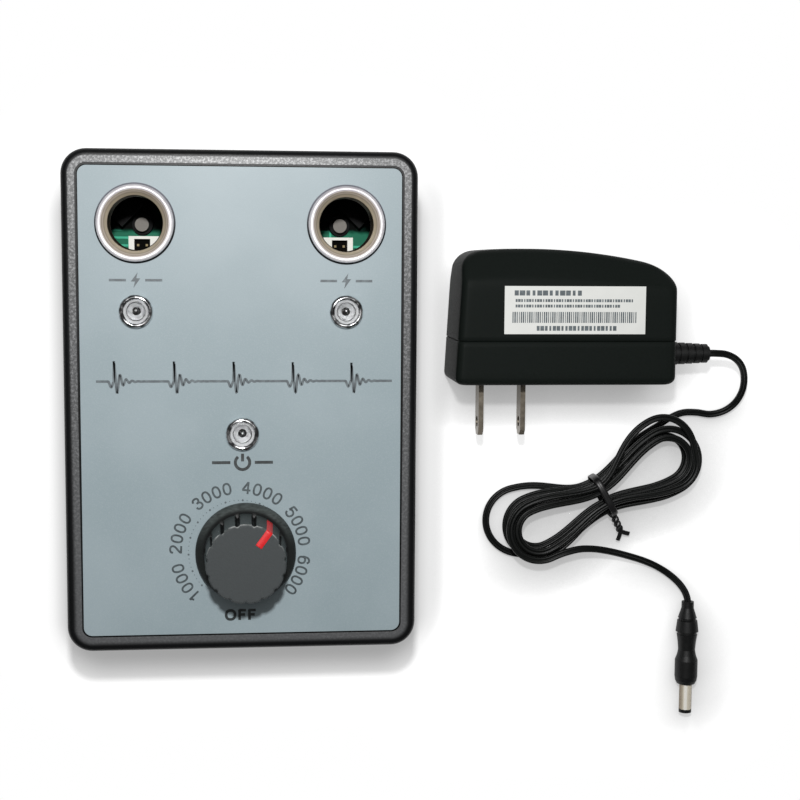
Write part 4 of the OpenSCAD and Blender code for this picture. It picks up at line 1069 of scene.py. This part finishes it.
# the outline is turned about the axis, and a share at each height says how far its radius follows the flutes
def knobRings(settings):
    hollow, deep = settings["hollow"]
    high, grip, cap, edge, low = pick(settings, "high", "grip", "cap", "edge", "gripFrom")
    under = [(0, deep, 0), (hollow, deep, 0), (hollow, 0.3, 0), (hollow + 0.3, 0, 0)]
    skirt = [(r, h, 0) for r, h in settings["skirt"]]
    shares = [(low - 0.1, 0.5), *((h, 1.0) for h in np.linspace(low + 0.1, high - 2.2, 9)),
              (high - 1.5, 0.9), (high - 0.9, 0.7), (high - edge, 0.45)]
    wall = [(wallRadius(settings, h), h, share) for h, share in shares]
    bend = [(r, h, 0.36) for r, h in arcPoints((cap - edge, high - edge), edge, 0, 90, 8)[1:]]
    top = [(cap - 0.9, high, 0.3), (cap - 1.4, high, 0.2), (cap - 2.2, high, 0.08),
           (8.0, high, 0), (4.0, high, 0), (0, high, 0)]
    outline = np.array(under + skirt + wall + bend + top)
    angle = fullTurn(settings["points"])
    radius = outline[:, :1] * (1 + outline[:, 2:] * (gripRadius(settings, angle) / grip - 1))
    rings = np.stack([radius * np.cos(angle), radius * np.sin(angle), outline[:, 1:2] + 0 * angle], -1)
    return (rings + np.array(layout["knob"])) * mm


# the pointer is a flat bar carried from the cap over its edge and down the grip
def pointerRings(settings):
    high, cap, edge, proud, first = pick(settings, "high", "cap", "edge", "pointerProud", "pointerFrom")
    over = np.concatenate([[first], np.linspace(first + 0.3, cap - 0.7, 14)])
    down = np.linspace(high - 1, settings["gripFrom"] + 0.2, 10)
    path = np.vstack([
        np.stack([over, 0 * over + high + proud], -1),
        arcPoints((cap - edge, high - edge), edge + proud, 90, 0, 10),
        np.stack([wallRadius(settings, down) + proud, down], -1),
    ])
    step = unit(np.gradient(path, axis=0))
    inward = np.stack([step[:, 1], -step[:, 0]], -1)
    half = settings["pointerWide"] / 2
    across = np.array([-half, -half, -half + 0.12, half - 0.12, half, half])
    depth = np.array([0.7, 0.1, 0, 0, 0.1, 0.7])
    flat = path[:, None] + depth[None, :, None] * inward[:, None]
    out = np.append(circle(np.radians(settings["pointer"])), 0)
    side = np.array([-out[1], out[0], 0])
    rings = flat[..., :1] * out + across[None, :, None] * side + flat[..., 1:] * np.array([0, 0, 1])
    return (rings + np.array(layout["knob"])) * mm


knobPiece = addPiece("knobBody", loft(knobRings(knobSettings), False), "knob", "knob_grey")
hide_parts("knob")
pointerPiece = addPiece("knobPointer", loft(pointerRings(knobSettings)), "knob", "pointer_red")
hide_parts("knob_pointer")
print("knob turned")


# print on the panel: speed figures and dots round the knob, a pulse trace, marks by sockets and power lamp
printSettings = {
    "surface": layout["panel"],
    "thick": 0.03,                      # mm
    "sunk": 0.02,
    "step": 0.004,                      # in height from one stroke of a figure to the next
    "roundness": 0.85,                  # of rings; 1 is an ellipse, less is squarer
    "dial": (-0.7, -41.8),
    "figures": ["1000", "2000", "3000", "4000", "5000", "6000"],
    "firstFigure": -119.8,              # degrees clockwise from +Y
    "figureStep": 46.7,
    "digitStep": 9.75,
    "figureRadius": 18.07,
    "digitHigh": 3.5,
    "stroke": 0.56,
    "off": "OFF",
    "offPlaces": (-2.85, 0.45, 3.2),
    "offRadius": 18.3,
    "offHigh": 3.1,
    "offStroke": 0.76,
    "firstDot": -131.6,
    "dotStep": 19.2,
    "dots": 15,
    "dotRadius": 14.5,
    "dotSize": 0.3,
    "fineSize": 0.14,
    "trace": (0.9, 7.2, 82.0, 9.4),     # middle, width and height of the pulse trace
    "tracePoints": 900,
    "pulses": 5,
    "pulseAt": 0.3,                     # share of a pulse's length at which it rises
    "pulseFade": 11.0,
    "pulseRing": 62.0,
    "dip": (0.1, 0.28),                 # length and depth of the dip before it
    "line": 0.7,
    "signalMark": (29.0, 34.2),
    "signalDash": (2.6, 7.25),          # from the middle of the mark
    "bolt": [(0.55, 2.1), (-1.25, -0.35), (-0.2, -0.35), (-0.6, -2.1), (1.25, 0.5), (0.2, 0.5)],
    "boltSize": 1.05,
    "powerMark": (0.0, -16.6),
    "powerDash": (3.4, 8.5),
    "powerLine": 0.85,
    "powerRing": (2.0, 38.0),           # radius, and half its opening in degrees
    "powerStem": (0.3, 2.5),
}


def inkFinish(name, red, green, blue):  # flat ink, paler where it is worn
    finish = Finish(name)
    worn = finish.grain(1.2, 3)
    pale = tint(red + 26, green + 28, blue + 28)
    finish.put("Base Color", finish.mix(worn.between(0.35, 0.8), tint(red, green, blue), pale))
    finish.put("Roughness", worn * 0.2 + 0.4)
    return finish.material


# a flat figure becomes a thin plate: the outline's rings are its underside and its top
def inkPatch(outline, settings):
    count = len(outline)
    low = np.full((count, 1), settings["surface"] - settings["sunk"])
    high = low + settings["sunk"] + settings["thick"]
    points = np.vstack([np.hstack([outline, low]), np.hstack([outline, high])])
    ends = np.array([np.arange(count)[::-1], np.arange(count) + count])
    return points * mm, [gridFaces(2, count), ends]


# a line of even width carried along a flat path
def inkLine(path, wide, settings, lift=0.0, closed=False):
    half, low, top = wide / 2, -settings["sunk"], settings["thick"] + lift
    profile = np.array([[-half, low], [half, low], [half, top], [-half, top]])
    path = np.hstack([path, np.full((len(path), 1), settings["surface"])])
    rings = sweep(path, profile) * mm
    if closed:
        rings[0] = rings[-1] = (rings[0] + rings[-1]) / 2
    return loft(rings, not closed)


def inkDots(places, size, settings):    # a small round plate at each place
    return [inkPatch(size * circle(fullTurn(10)) + place, settings) for place in places]


# a level dash to either side of a mark
def inkDashes(middle, dash, wide, settings):
    level = np.stack([np.linspace(*dash, 12), np.zeros(12)], -1)
    return [inkLine(path + middle, wide, settings) for path in (-level[::-1], level)]


# figures: centre lines of each stroke in a box one unit high, smooth where they curve
strokeShapes = {
    "0": [("ring", (0, 0, 0.27, 0.43))],
    "1": [("line", [(0.06, 0.49), (0.06, -0.49)]), ("curve", [(0.06, 0.45), (-0.04, 0.33), (-0.2, 0.24)])],
    "2": [("curve", [(-0.27, 0.2), (-0.22, 0.37), (0, 0.44), (0.21, 0.37), (0.26, 0.2), (0.17, 0.02),
                     (-0.05, -0.18), (-0.22, -0.34), (-0.26, -0.43)]),
          ("line", [(-0.31, -0.43), (0.29, -0.43)])],
    "3": [("curve", [(-0.26, 0.24), (-0.18, 0.39), (0, 0.44), (0.19, 0.37), (0.23, 0.22), (0.14, 0.08),
                     (-0.06, 0.04)]),
          ("curve", [(-0.06, 0.04), (0.16, 0.0), (0.27, -0.17), (0.21, -0.36), (0, -0.44), (-0.2, -0.37),
                     (-0.28, -0.2)])],
    "4": [("line", [(0.12, 0.47), (-0.3, -0.18)]), ("line", [(-0.33, -0.19), (0.33, -0.19)]),
          ("line", [(0.12, 0.49), (0.12, -0.49)])],
    "5": [("line", [(-0.2, 0.43), (0.25, 0.43)]), ("line", [(-0.18, 0.45), (-0.25, 0.0)]),
          ("curve", [(-0.25, 0.0), (-0.1, 0.12), (0.1, 0.11), (0.25, -0.02), (0.26, -0.22), (0.16, -0.39),
                     (-0.03, -0.44), (-0.21, -0.36), (-0.28, -0.22)])],
    "6": [("ring", (0.01, -0.17, 0.26, 0.27)),
          ("curve", [(0.24, 0.27), (0.15, 0.41), (-0.02, 0.43), (-0.18, 0.32), (-0.26, 0.1),
                     (-0.265, -0.12)])],
    "O": [("ring", (0, 0, 0.4, 0.42))],
    "F": [("line", [(-0.24, 0.49), (-0.24, -0.49)]), ("line", [(-0.26, 0.42), (0.34, 0.42)]),
          ("line", [(-0.26, 0.02), (0.25, 0.02)])],
}


# each stroke is sized, turned and set on the panel, then drawn as a line of even width; a hair's step in
# height keeps crossing strokes apart
def strokeFigure(letter, high, wide, middle, turn, settings):
    parts = []
    for number, (kind, points) in enumerate(strokeShapes[letter]):
        points = np.array(points)
        if kind == "ring":              # middle and half sizes
            ring = signedPower(circle(np.linspace(0, 2 * np.pi, 41)), settings["roundness"])
            path = ring * points[2:] + points[:2]
        elif kind == "curve":
            path = smoothPath(np.pad(points, ((0, 0), (0, 1))), 6)[:, :2]
        else:
            path = np.linspace(*points, 4)
        flat = np.stack(turnFlat(*(path * high).T, turn), -1) + middle
        parts.append(inkLine(flat, wide, settings, number * settings["step"], kind == "ring"))
    return joined(parts)


def onDial(degrees, radius, settings):  # degrees clockwise from +Y
    angle = np.radians(degrees)
    return np.array(settings["dial"]) + radius * np.stack([np.sin(angle), np.cos(angle)], -1)


# each digit stands on a circle about the dial and leans outwards with it
def dialFigures(settings):
    high, wide, radius = pick(settings, "digitHigh", "stroke", "figureRadius")
    parts = []
    for number, figure in enumerate(settings["figures"]):
        for k, letter in enumerate(figure):
            degrees = settings["firstFigure"] + settings["figureStep"] * number
            degrees += settings["digitStep"] * (k - (len(figure) - 1) / 2)
            middle = onDial(degrees, radius, settings)
            parts.append(strokeFigure(letter, high, wide, middle, -np.radians(degrees), settings))
    return joined(parts)


def offFigure(settings):                # three level letters below the dial
    high, wide = pick(settings, "offHigh", "offStroke")
    middle = onDial(180, settings["offRadius"], settings)
    places = zip(settings["off"], settings["offPlaces"])
    return joined([strokeFigure(letter, high, wide, middle + [x, 0], 0.0, settings) for letter, x in places])


def dialDots(settings):                 # large dots at even steps round the knob, and three fine ones between
    radius, step = pick(settings, "dotRadius", "dotStep")
    large = settings["firstDot"] + step * np.arange(settings["dots"])
    fine = (large[:-1, None] + step * np.array([0.25, 0.5, 0.75])).ravel()
    parts = inkDots(onDial(large, radius, settings), settings["dotSize"], settings)
    return joined(parts + inkDots(onDial(fine, radius, settings), settings["fineSize"], settings))


# pulse trace: a level line with firing spikes, each one a small dip, a sharp rise and a ring that dies down
def pulseTrace(settings):
    x, y, wide, high = settings["trace"]
    at, (dipLong, dipDeep) = pick(settings, "pulseAt", "dip")
    t = np.linspace(0, 1, settings["tracePoints"])
    past = (t * settings["pulses"]) % 1 - at
    ring = np.exp(-past * settings["pulseFade"]) * np.cos(past * settings["pulseRing"])
    dip = -dipDeep * np.sin(np.pi * past / dipLong) ** 2
    wave = np.where(past > 0, ring, np.where(past > -dipLong, dip, 0))
    path = np.stack([x + wide * (t - 0.5), y - high * 0.1 + wave * high * 0.6], -1)
    return inkLine(path, settings["line"], settings)


def boltMark(middle, settings):         # a bolt between two dashes
    bolt = inkPatch(np.array(settings["bolt"]) * settings["boltSize"] + middle, settings)
    return joined([bolt, *inkDashes(middle, settings["signalDash"], settings["line"], settings)])


def powerMark(settings):                # an open ring with a stem in its opening, between two dashes
    middle, wide = np.array(settings["powerMark"]), settings["powerLine"]
    radius, opening = settings["powerRing"]
    ring = arcPoints(middle, radius, 90 + opening, 450 - opening, 48)
    stem = np.stack([np.zeros(8), np.linspace(*settings["powerStem"], 8)], -1) + middle
    lines = [inkLine(ring, wide, settings), inkLine(stem, wide, settings)]
    return joined(lines + inkDashes(middle, settings["powerDash"], wide, settings))


figureInk = inkFinish("figureInk", 56, 65, 68)
darkInk = inkFinish("darkInk", 34, 39, 40)
greyInk = inkFinish("greyInk", 80, 88, 92)
addPiece("dialFigures", dialFigures(printSettings), "case", finish=figureInk, smooth=False)
addPiece("dialDots", dialDots(printSettings), "case", finish=greyInk, smooth=False)
addPiece("offFigure", offFigure(printSettings), "case", finish=darkInk, smooth=False)
addPiece("pulseTrace", pulseTrace(printSettings), "case", finish=greyInk, smooth=False)
for number, sign in enumerate(sides.values()):
    place = np.array(printSettings["signalMark"]) * [sign, 1]
    addPiece("signalMark.%d" % number, boltMark(place, printSettings), "case", finish=greyInk, smooth=False)
addPiece("powerMark", powerMark(printSettings), "case", finish=darkInk, smooth=False)
print("panel printed")


# adapter label: rows of plain blocks and a strip of bars
labelSettings = {
    "surface": 29.2,                    # mm
    "thick": 0.03,
    "sunk": 0.02,
    "rows": [                           # x, y, length and height of a row, step and share of a block
        (79.5, 30.7, 19.0, 1.5, 1.7, 0.72),
        (79.5, 28.5, 35.0, 0.85, 0.8, 0.7),
        (79.5, 26.9, 31.0, 0.85, 0.8, 0.7),
        (78.5, 23.6, 37.0, 3.2, 0.62, 0.55),
        (86.0, 20.4, 24.0, 1.4, 1.2, 0.7),
    ],
    "vary": (0.35, 1.7),                # of the widths: share, and radians from block to block
}


# a row's blocks stand at even steps, and their widths come and go with a sine
def labelPrint(settings):
    vary, pace = settings["vary"]
    parts = []
    for x, y, long, high, step, share in settings["rows"]:
        places = np.arange(x, x + long, step)
        widths = step * share * (1 + vary * np.sin(pace * np.arange(len(places))))
        for place, wide in zip(places, widths):
            rise = np.linspace(y - high / 2, y + high / 2, 3)
            parts.append(inkLine(np.stack([np.full(3, place), rise], -1), wide, settings))
    return joined(parts)


addPiece("labelPrint", labelPrint(labelSettings), "power_lead", finish=greyInk, smooth=False)
print("label printed")


# stage: a white floor that keeps shadows, soft lamps and a pale sky
stageSettings = {
    "floorRadius": 6000.0,              # mm
    "floorSides": 64,
    "grey": 0.98,
    "boxes": [                          # middle and half size, least white share, mm to plain white
        ((0.0, -6.0), (53.0, 76.0), 0.22, 26.0),
        ((108.0, -34.0), (56.0, 78.0), 0.55, 14.5),
    ],
    "boxRound": 12.0,
    "floorShadow": (0.45, 0.9, 6.0),           # painted shadow: floor grey beside the tester and past it, and the width between
    "floorShadowBox": ((0.0, -9.5), (53.0, 72.5)),
    "lift": 1.5,                        # most that a small white share is raised by
    "shadeReach": 16.5,                 # soft shade round what stands close to the floor, beside the tester
    "shadeTilt": (-0.35, 0.85, 0.4),    # it falls away from the side that the light comes from
    "shadeDepth": 0.78,
    "shadePower": 0.58,                 # below 1, low pieces shade more
    "shadeFrom": (53.0, 63.0),
    "shadeSamples": 16,
    "sky": 0.1,
    "lamps": {                          # place, aim, size, watts
        "flash": ((-4.0, 140.0, 457.0), (0.0, 0.0, 40.0), 26.0, 1.75),
        "softBox": ((-20.0, 300.0, 950.0), (40.0, 0.0, 0.0), 500.0, 1.3),
    },
}


def greyTone(level):                    # a grey of that brightness
    return (level, level, level, 1)


# the floor glows plain white where the camera sees it, straight or in metal and glass, and is matt to other
# light; near the object less of the glow shows, so that the shadow does
def floorFinish(settings):
    finish = Finish("floorWhite")
    kinds = ("Is Camera Ray", "Is Glossy Ray", "Is Transmission Ray")
    rays = [finish.node("ShaderNodeLightPath", out=kind) for kind in kinds]
    x, y = finish.axes()[:2]
    corner = settings["boxRound"]

    def outside(middle, half):          # distance outside a box with round corners
        past = [(p - m).size() - (h - corner) for p, m, h in zip((x, y), middle, half)]
        past = [p.calc("MAXIMUM", p, 0.0) for p in past]
        return past[0].reach(past[1]) - corner

    tilt = finish.node("ShaderNodeCombineXYZ", None, dict(enumerate(settings["shadeTilt"])))
    clear = finish.node("ShaderNodeAmbientOcclusion", {"samples": settings["shadeSamples"]},
                        {"Distance": settings["shadeReach"] * mm, "Normal": tilt}, 1)
    dark = x.calc("MAXIMUM", 1 - clear, 0.0) ** settings["shadePower"] * settings["shadeDepth"]
    shade = 1 - dark * x.between(*settings["shadeFrom"])
    white = 1.0
    for middle, half, least, wide in settings["boxes"]:
        out = outside(middle, half)
        white = x.calc("MINIMUM", white, out.between(0.0, wide) * (1 - least) + least)
    # painted shadow: the matt floor is greyer round the tester, fading out
    near, far, wide = settings["floorShadow"]
    out = outside(*settings["floorShadowBox"])
    grey = finish.mix(out.between(0.0, wide), greyTone(near), greyTone(far))
    grey = finish.mix(out.between(wide, 2 * wide), grey, greyTone(settings["grey"]))
    matt = finish.node("ShaderNodeBsdfDiffuse", None, {"Color": finish.mix(shade, greyTone(0), grey)})
    level = x.calc("MINIMUM", 1 / white, settings["lift"]) * shade
    glow = finish.node("ShaderNodeEmission", None, {"Color": level, "Strength": 1.0})
    mixed = finish.node("ShaderNodeMixShader", None, {0: sum(rays) * white, 1: matt, 2: glow})
    output = [n for n in finish.tree.nodes if n.type == "OUTPUT_MATERIAL"][0]
    finish.tree.links.new(mixed.socket, output.inputs["Surface"])
    finish.tree.nodes.remove(finish.shader)
    return finish.material


def addLamp(name, place, aim, size, power):
    data = bpy.data.lights.new(name, "AREA")
    data.shape = "DISK"
    data.size = size * mm
    data.energy = power
    lamp = bpy.data.objects.new(name, data)
    lamp.location = Vector(place) * mm
    lamp.rotation_euler = (Vector(aim) - Vector(place)).to_track_quat("-Z", "Y").to_euler()
    scene.collection.objects.link(lamp)


def makeStage(settings):
    edge = settings["floorRadius"] * mm * np.pad(circle(fullTurn(settings["floorSides"])), ((0, 0), (0, 1)))
    mesh = bpy.data.meshes.new("floor")
    mesh.from_pydata(edge.tolist(), [], [list(range(len(edge)))])
    mesh.materials.append(floorFinish(settings))
    floor = bpy.data.objects.new("floor", mesh)
    scene.collection.objects.link(floor)
    scene.world = bpy.data.worlds.new("sky")
    scene.world.use_nodes = True
    sky = scene.world.node_tree.nodes["Background"].inputs
    sky["Color"].default_value = greyTone(1)
    sky["Strength"].default_value = settings["sky"]
    for name, lamp in settings["lamps"].items():
        addLamp(name, *lamp)


makeStage(stageSettings)
print("stage lit")
